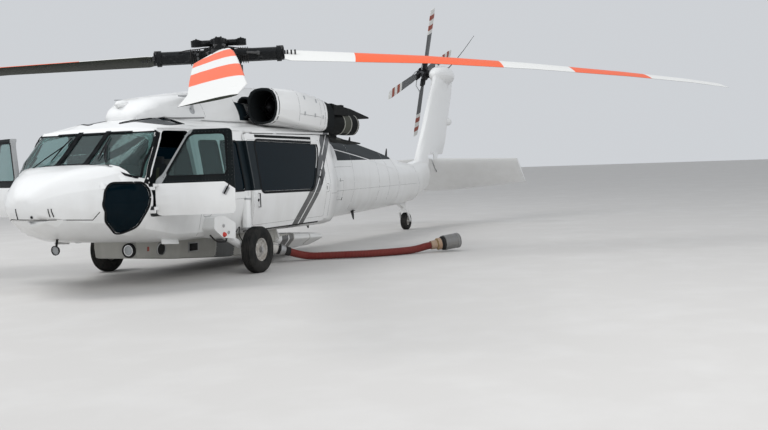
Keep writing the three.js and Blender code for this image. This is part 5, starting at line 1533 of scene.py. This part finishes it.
class HELI_OT_tail(bpy.types.Operator):
    """Tail rotor, antennas, lights and fittings of the fin"""
    bl_idname = "heli.tail"
    bl_label = "Tail"

    def execute(self, context):
        for k in (1, 2):
            carried(f"tail_rotor_beam_{k}", "tail_blade", smooth=50, slot="tail_blade_paint")
        carried("tail_rotor_hub", "black_fitting", slot="rotor_head", bevel=0.005)
        bm = bmesh.new()
        for k in range(4):
            spoke = Matrix.Rotation(math.radians(-23 + 90 * k), 4, "Z")
            height = 0.075 if k % 2 == 0 else 0.15
            block(bm, (0.10, -0.075, height - 0.038), (0.30, 0.075, height + 0.038), spoke, 0.012)
            for x in (0.14, 0.20, 0.26):
                knob(bm, spoke @ Vector((x, 0.04, height)), Z, 0.014, 0.036, 0.05, 0.052, index=1)
            link = turned(spoke, (0.10, 0.09, 0.205), (0.30, 0.12, 0.19), (0.42, 0.10, height + 0.02))
            tube(bm, link, 0.011, 8, 1)
            for end in (link[0], link[2]):
                ball(bm, end, 0.02, segments=10, rings=6, index=1)
        lathe(bm, [(0.05, 0.205), (0.125, 0.205), (0.128, 0.213), (0.10, 0.222), (0.045, 0.23),
                   (0.04, 0.26, 1), (0, 0.262, 1)], sides=28)
        bmesh.ops.transform(bm, matrix=TAIL_TURN, verts=bm.verts)
        from_bmesh("tail_rotor_fittings", bm, "black_fitting", "bare_metal", body="tail_rotor")
        bolt_ring("tail_hub_bolts", TAIL_TURN @ (Z * 0.217), TAIL_AXIS, 10, 0.085, 0.009, 0.018, "tail_rotor",
                  "bare_metal")
        fin = Skin("tail_pylon", "tail_cone", "aft_fuselage")
        bm = bmesh.new()
        ball(bm, at(-10.3, 0, 2.45), 0.10, (1.4, 0.9, 1.0), 18, 12)
        tube(bm, [at(-10.30, 0.0, 3.70), at(-10.7, 0.10, 3.95), at(-11.05, 0.22, 4.25),
                  at(-11.42, 0.37, 4.62)],
             [0.014, 0.009, 0.007, 0.005], 8, 1)
        lathe(bm, [(0, -0.02), (0.03, -0.02), (0.024, 0.03), (0, 0.04)], at(-10.28, 0, 3.69),
              (-0.6, 0.1, 0.8), 14, 1)
        slab(bm, (-9.72, -9.60), 0, 0.012, (3.74, 3.80), 0.005)
        lathe(bm, [(0, -0.03), (0.035, -0.03), (0.035, 0.02), (0.02, 0.045), (0, 0.05)], at(-10.38, 0, 3.735),
              Z, 16, 2)
        from_bmesh("fin_fittings", bm, "white_paint", "black_fitting", "red_lens")
        bm = bmesh.new()
        for view, x, y, height in ((fin.below, -4.0, 0.30, -0.17), (fin.below, -2.7, 0.0, -0.14),
                                   (fin.top, -4.6, 0.0, 0.16), (fin.top, -6.4, 0.0, 0.22)):
            for point, _ in met([view(x, y)]):
                blade_antenna(bm, point, height)
        from_bmesh("blade_antennas", bm, "black_fitting")
        bm = bmesh.new()
        lug = bmesh.new()
        for side, _ in SIDES:
            flank = fin.flank(side)
            for x in (-5.0, -6.2):
                ribbon(bm, row(flank, (x, 0.75), (0, 0.05), 18), 0.005, 0.0008)
            # White strip along the crease: painted highlight.
            ribbon(bm, drawn(flank, TAIL_CREASE_HIGHLIGHT), 0.016, 0.004, index=1)
            pin, out = at(-8.92, side * 0.183, 1.35), Y * side
            knob(lug, pin, out, 0.03, 0, 0.018, 0.02)
            lathe(lug, [(0.045, -0.002), (0.045, 0.004), (0.03, 0.006), (0, 0.006)], pin, out, 20, 1)
        from_bmesh("tail_seams", bm, "seam_shadow", "white_paint", smooth=40)
        from_bmesh("stabilator_pins", lug, "bare_metal", "white_paint")
        return {"FINISHED"}


# Gear, wheels and tank

def wheel_piece(node, centre, side, radius, half, rim, hub, bolts):
    """A grooved tyre on a pale bolted rim."""
    scale = radius / 0.33
    tread = []
    for y in (-0.42, -0.14, 0.14, 0.42):
        for away, deep in ((-0.012, 0), (-0.008, 0.022), (0.008, 0.022), (0.012, 0)):
            tread.append((radius * (1 - deep), y * half + away * scale))
    inner_wall = [(rim * 0.93, -half * 0.66), (rim * 1.04, -half * 0.78), (rim * 1.22, -half * 0.95),
                  (radius * 0.80, -half * 0.99), (radius * 0.90, -half * 0.90),
                  (radius * 0.965, -half * 0.74), (radius * 0.993, -half * 0.58)]
    outer_wall = [(r, -y) for r, y in inner_wall[:0:-1]]
    white, dark = 1, 2
    disc = [(rim * 0.93, 0.66, white), (rim * 0.86, 0.60, white), (rim * 0.80, 0.34, white),
            (rim * 0.62, 0.22, white), (rim * 0.50, 0.30, white), (hub * 1.9, 0.42, white),
            (hub * 1.6, 0.52, white), (hub, 0.52, white), (hub, -0.5, white), (hub * 1.7, -0.5, dark),
            (rim * 0.70, -0.46, dark), (rim * 0.80, -0.50, dark), (rim * 0.86, -0.6, white),
            (rim * 0.93, -0.66)]
    bm = bmesh.new()
    lathe(bm, inner_wall + tread + outer_wall + [(r, y * half, *paint) for r, y, *paint in disc], centre,
          (0, side, 0), 64)
    from_bmesh(node + "_finish", bm, "tyre_rubber", "wheel_white", "dark_metal", body=node, replaces=(node,),
               slot="tyre")
    out = Y * side
    bolt_ring(node + "_bolts", centre + out * half * 0.26, out, bolts, rim * 0.56, rim * 0.045, half * 0.12,
              node, "bare_metal")


class HELI_OT_gear(bpy.types.Operator):
    """Landing gear legs, struts, lamps on the stubs, wheels and tail wheel fork"""
    bl_idname = "heli.gear"
    bl_label = "Landing gear"

    def execute(self, context):
        for side, name in SIDES:
            out = Y * side

            def near(x, y, z):
                return at(x, side * y, z)
            wheel_piece("main_wheel_" + name, near(1.3, 1.31, 0.33), side, 0.33, 0.1, 0.175, 0.0345, 10)
            low, high = near(1.3, 1.15, 0.33), near(1.24, 1.12, 0.96)
            along = (high - low).normalized()

            def strut(centre, normal):
                ahead = (centre - low).dot(along)
                away = (centre - low - along * ahead).length
                axle = abs(centre.y) > 1.17 and (centre - at(1.3, centre.y, 0.33)).length < 0.05
                return int(axle or (away < 0.0445 and 0.06 < ahead < 0.3))
            carried("main_gear_" + name, "white_paint", "strut_chrome", choose=strut, slot="gear_paint",
                    bevel=0.006, cuts=[(low + along * mark, along) for mark in (0.10, 0.29)])
            bm = bmesh.new()
            for mark, radius in ((0.285, 0.072), (0.30, 0.070), (0.12, 0.052), (0.72, 0.072)):
                collar(bm, low + along * mark, along, radius, 0.02, 0.014, 0.010, 28)
            link = ((0.07, 0.03), (0.22, 0.125), (0.40, 0.05))
            foot, knee, top = (low + along * up - X * back for up, back in link)
            tube(bm, [foot, knee], 0.013, 8)
            tube(bm, [knee, top], 0.013, 8)
            ball(bm, knee, 0.02, segments=10, rings=6)
            brake = [near(*point) for point in ((1.36, 1.13, 0.42), (1.45, 1.11, 0.55), (1.42, 1.10, 0.66),
                                                (1.60, 1.13, 0.60), (1.92, 1.14, 0.66))]
            tube(bm, smooth_line(brake, 6), 0.007, 8, 1)
            lathe(bm, [(0.040, 0.0), (0.14, 0.004), (0.145, 0.02), (0.135, 0.035), (0.06, 0.038),
                       (0.040, 0.03), (0.040, 0.0)], near(1.3, 1.195, 0.33), out, 36, 1)
            lathe(bm, [(0, 0.01), (0.026, 0.01), (0.030, 0.004), (0.044, 0.0), (0.044, -0.012), (0, -0.012)],
                  near(1.3, 1.385, 0.33), out, 24)
            for x, z in ((2.06, 0.72), (1.94, 0.62)):
                knob(bm, near(x, 1.24, z), out, 0.024, 0, 0.012, 0.014)
            from_bmesh("gear_fittings_" + name, bm, "bare_metal", "black_fitting")
            bm = bmesh.new()
            lathe(bm, [(0, 0.045), (0.022, 0.038), (0.034, 0.018), (0.036, 0.0), (0.042, -0.004, 1),
                       (0.044, -0.014, 1), (0, -0.014, 1)], near(2.05, 1.235, 0.60), (0.15, side, -0.05), 24)
            from_bmesh("side_lamp_" + name, bm, name + "_lamp", "bare_metal", slot="lamp")
            bm = bmesh.new()
            step = [near(*point) for point in ((2.18, 1.10, 0.60), (2.18, 1.20, 0.52), (2.0, 1.22, 0.50),
                                               (1.9, 1.18, 0.54))]
            tube(bm, smooth_line(step, 5), 0.012, 8)
            from_bmesh("gear_step_" + name, bm, "black_fitting")
        carried("tail_gear_leg", "white_paint", slot="gear_paint", bevel=0.005)
        carried("tail_gear_fork", "white_paint", slot="gear_paint", bevel=0.004)
        wheel_piece("tail_wheel", at(-7.4, 0, 0.19), 1, 0.19, 0.07, 0.095, 0.0185, 6)
        bm = bmesh.new()
        for side, _ in SIDES:
            knob(bm, at(-7.4, side * 0.113, 0.19), Y * side, 0.028, 0, 0.014, 0.017)
        from_bmesh("tail_fork_nuts", bm, "bare_metal", body="tail_fork")
        return {"FINISHED"}


class HELI_OT_tank(bpy.types.Operator):
    """Water tank with its ports, seams, straps, strake and landing light"""
    bl_idname = "heli.tank"
    bl_label = "Water tank"

    def execute(self, context):
        dark_rear, dark_front, striped_front = 0.79, 1.22, -0.1

        def banded(centre, normal):
            station = centre.x - ROTOR_STATION
            if station < striped_front:
                return 2
            return int(dark_rear < station < dark_front and abs(centre.y) > 0.3)
        carried("water_tank", "tank_paint", "tank_dark", "striped_paint", choose=banded,
                cuts=planes((dark_rear, dark_front)), slot="tank_paint")
        skin = Skin("water_tank")
        hull = Skin("cockpit_shell", "cabin_shell", "water_tank")
        metal, red, grey = 1, 2, 3
        bm = bmesh.new()
        strakes = bmesh.new()
        lines = []
        for side, _ in SIDES:
            flank = skin.flank(side)
            lathe(bm, [(0.095, -0.01, metal), (0.095, 0.006, metal), (0.080, 0.010, metal), (0.076, 0.002),
                       (0, 0.002)], *flank(2.32, 0.427))
            port = flank(1.67, 0.40)
            plate(bm, port, 0.10, 0.07, -0.004, 0.006, 0.003, metal)
            plate(bm, port, 0.082, 0.052, 0.0, 0.009, 0.003)
            plate(bm, flank(2.58, 0.45), 0.018, 0.03, -0.003, 0.003, 0.001, red)
            for x in (1.22, 0.79, -0.08, -0.62, -1.2):
                ribbon(bm, row(flank, (x, 0.19), (0, 0.03), 15), 0.035 if x > 0 else 0.02, 0.004, index=grey)
            ribbon(bm, row(flank, (2.7, 0.60), (-0.1, 0), 20), 0.03, 0.006, index=grey)
            ribbon(bm, row(flank, (-0.2, 0.42), (-0.1, 0), 14), 0.03, 0.006, index=grey)
            lines += [row(flank, (x, 0.20), (0, 0.03), 14) for x in (1.25, 1.19, 0.82, 0.76, -0.11)]
            lines += [row(flank, (2.7, z), (-0.08, 0), 34) for z in (0.62, 0.585)]
            lines.append(row(flank, (-0.2, 0.40), (-0.08, 0), 18))
            ribbon(strakes, row(hull.flank(side), (2.96, 0.605), (-0.04, -0.003), 9), 0.012, 0.06)
        from_bmesh("tank_fittings", bm, "black_fitting", "bare_metal", "red_mark", "tank_paint")
        studs("tank_rivets", lines, "tank_paint", spacing=0.06, radius=0.006)
        centre = at(2.80, 0.24, 0.45)
        bm = bmesh.new()
        lathe(bm, [(0, 0), (0.096, 0), (0.098, 0.03), (0.096, 0.049), (0.078, 0.050), (0.072, 0.042, 1),
                   (0.064, 0.042, 1), (0.045, 0.018, 1), (0, 0.010, 1)], centre, X, 40)
        from_bmesh("landing_light_finish", bm, "black_fitting", "mirror_bowl", replaces=("landing_light",),
                   slot="lamp")
        bm = bmesh.new()
        lathe(bm, [(0, 0.0365), (0.070, 0.0365), (0.070, 0.041), (0.04, 0.045), (0, 0.0465)], centre, X, 36)
        from_bmesh("landing_light_lens", bm, "lamp_lens", slot="tinted_glass")
        from_bmesh("belly_strakes", strakes, "white_paint")
        return {"FINISHED"}


# Seams and rivets of the hull

def beside(hit):
    """A point a little beside a seam, where its rivets go."""
    point, normal = hit
    across = normal.cross(Z if abs(normal.z) < 0.9 else X).normalized()
    return point + across * 0.018, normal


class HELI_OT_seams(bpy.types.Operator):
    """Panel seams, drip rails, hatches and rivets of the hull"""
    bl_idname = "heli.seams"
    bl_label = "Seams and rivets"

    def execute(self, context):
        hull = Skin("cockpit_shell", "cabin_shell", "aft_fuselage", "tail_cone", "tail_pylon",
                    "nose_bay_door")
        bm = bmesh.new()
        lines = []

        def seam(hits):
            """Breaks a row where it misses the hull or jumps, and lines each part with rivets."""
            run = []
            for hit in hits + [None]:
                if hit is not None and (not run or (hit[0] - run[-1][0]).length < 0.3):
                    run.append(hit)
                    continue
                if len(run) > 2:
                    ribbon(bm, run, 0.005, 0.0008)
                    rivets = [beside(hit) for hit in run]
                    lines.append([rivet for rivet in rivets if not in_zone(rivet[0], OPEN_CABIN_DOOR)])
                run = [hit] if hit is not None else []
        for side, _ in SIDES:
            flank = hull.flank(side)
            seam(row(flank, (2.36, 0.60), (0, 0.05), 30))
            seam(row(flank, (1.2, 0.60), (0, 0.05), 12))
            for x in (-1.46, -1.9, -2.6, -3.65, -5.6, -7.6):
                seam(row(flank, (x, 0.60), (0, 0.05), 30))
            for x, z, count in ((2.2, 1.06, 11), (-1.5, 1.02, 60), (-1.9, 1.45, 18)):
                seam(row(flank, (x, z), (-0.1, 0), count))
            ribbon(bm, row(flank, (3.02, 2.035), (-0.09, 0), 22), 0.016, 0.016, index=1)
            ribbon(bm, row(flank, (1.12, 0.575), (-0.1, 0), 24), 0.03, 0.008, index=2)
            for x0, x1, z0, z1 in (
                    (-1.24, -1.40, 1.05, 1.185), (2.30, 2.12, 0.86, 1.02), (-2.7, -3.05, 0.86, 1.2)):
                outline = traced(flank, ((x0, z0), (x1, z0), (x1, z1), (x0, z1)), 0.025, step=0.04)
                ribbon(bm, outline, 0.006, 0.001, closed=True)
            for x, z in ((-2.885, 1.212), (-3.056, 0.869), (-1.32, 1.12)):
                plate(bm, flank(x, z), 0.016, 0.03, -0.003, 0.0015, 0.001, 2)
        from_bmesh("hull_seams", bm, "seam_shadow", "white_paint", "black_fitting", smooth=40)
        studs("hull_rivets", lines, "white_paint")
        return {"FINISHED"}


PIECES = (
    HELI_OT_camera, HELI_OT_hose, HELI_OT_stage, HELI_OT_hull, HELI_OT_glazing, HELI_OT_cockpit_doors,
    HELI_OT_cabin_doors, HELI_OT_cockpit, HELI_OT_nose, HELI_OT_roof, HELI_OT_exhausts, HELI_OT_rotor_head,
    HELI_OT_blades, HELI_OT_tail, HELI_OT_gear, HELI_OT_tank, HELI_OT_seams,
)


class HELI_PT_pieces(bpy.types.Panel):
    """Lists the pieces and their sizes"""
    bl_idname = "HELI_PT_pieces"
    bl_label = "Utility helicopter"
    bl_space_type = "VIEW_3D"
    bl_region_type = "UI"
    bl_category = "Helicopter"

    def draw(self, context):
        for name, group in SETTINGS.items():
            for key in group.__annotations__:
                self.layout.prop(getattr(context.scene, name), key)
        for piece in PIECES:
            self.layout.operator(piece.bl_idname)


def register():
    for group in (*SETTINGS.values(), *PIECES, HELI_PT_pieces):
        bpy.utils.register_class(group)
    for name, group in SETTINGS.items():
        setattr(bpy.types.Scene, name, PointerProperty(type=group))


def unregister():
    for name in SETTINGS:
        delattr(bpy.types.Scene, name)
    for group in (HELI_PT_pieces, *reversed(PIECES), *SETTINGS.values()):
        bpy.utils.unregister_class(group)


def main():
    register()
    for build in (weathering_group, grain_group, wear_group, stud_tree, ring_tree, hose_tree):
        build()
    for piece in PIECES:
        area, name = piece.bl_idname.split(".")
        if getattr(getattr(bpy.ops, area), name)() != {"FINISHED"}:
            raise RuntimeError(f"{piece.bl_label} was not made")


if __name__ == "__main__":
    main()
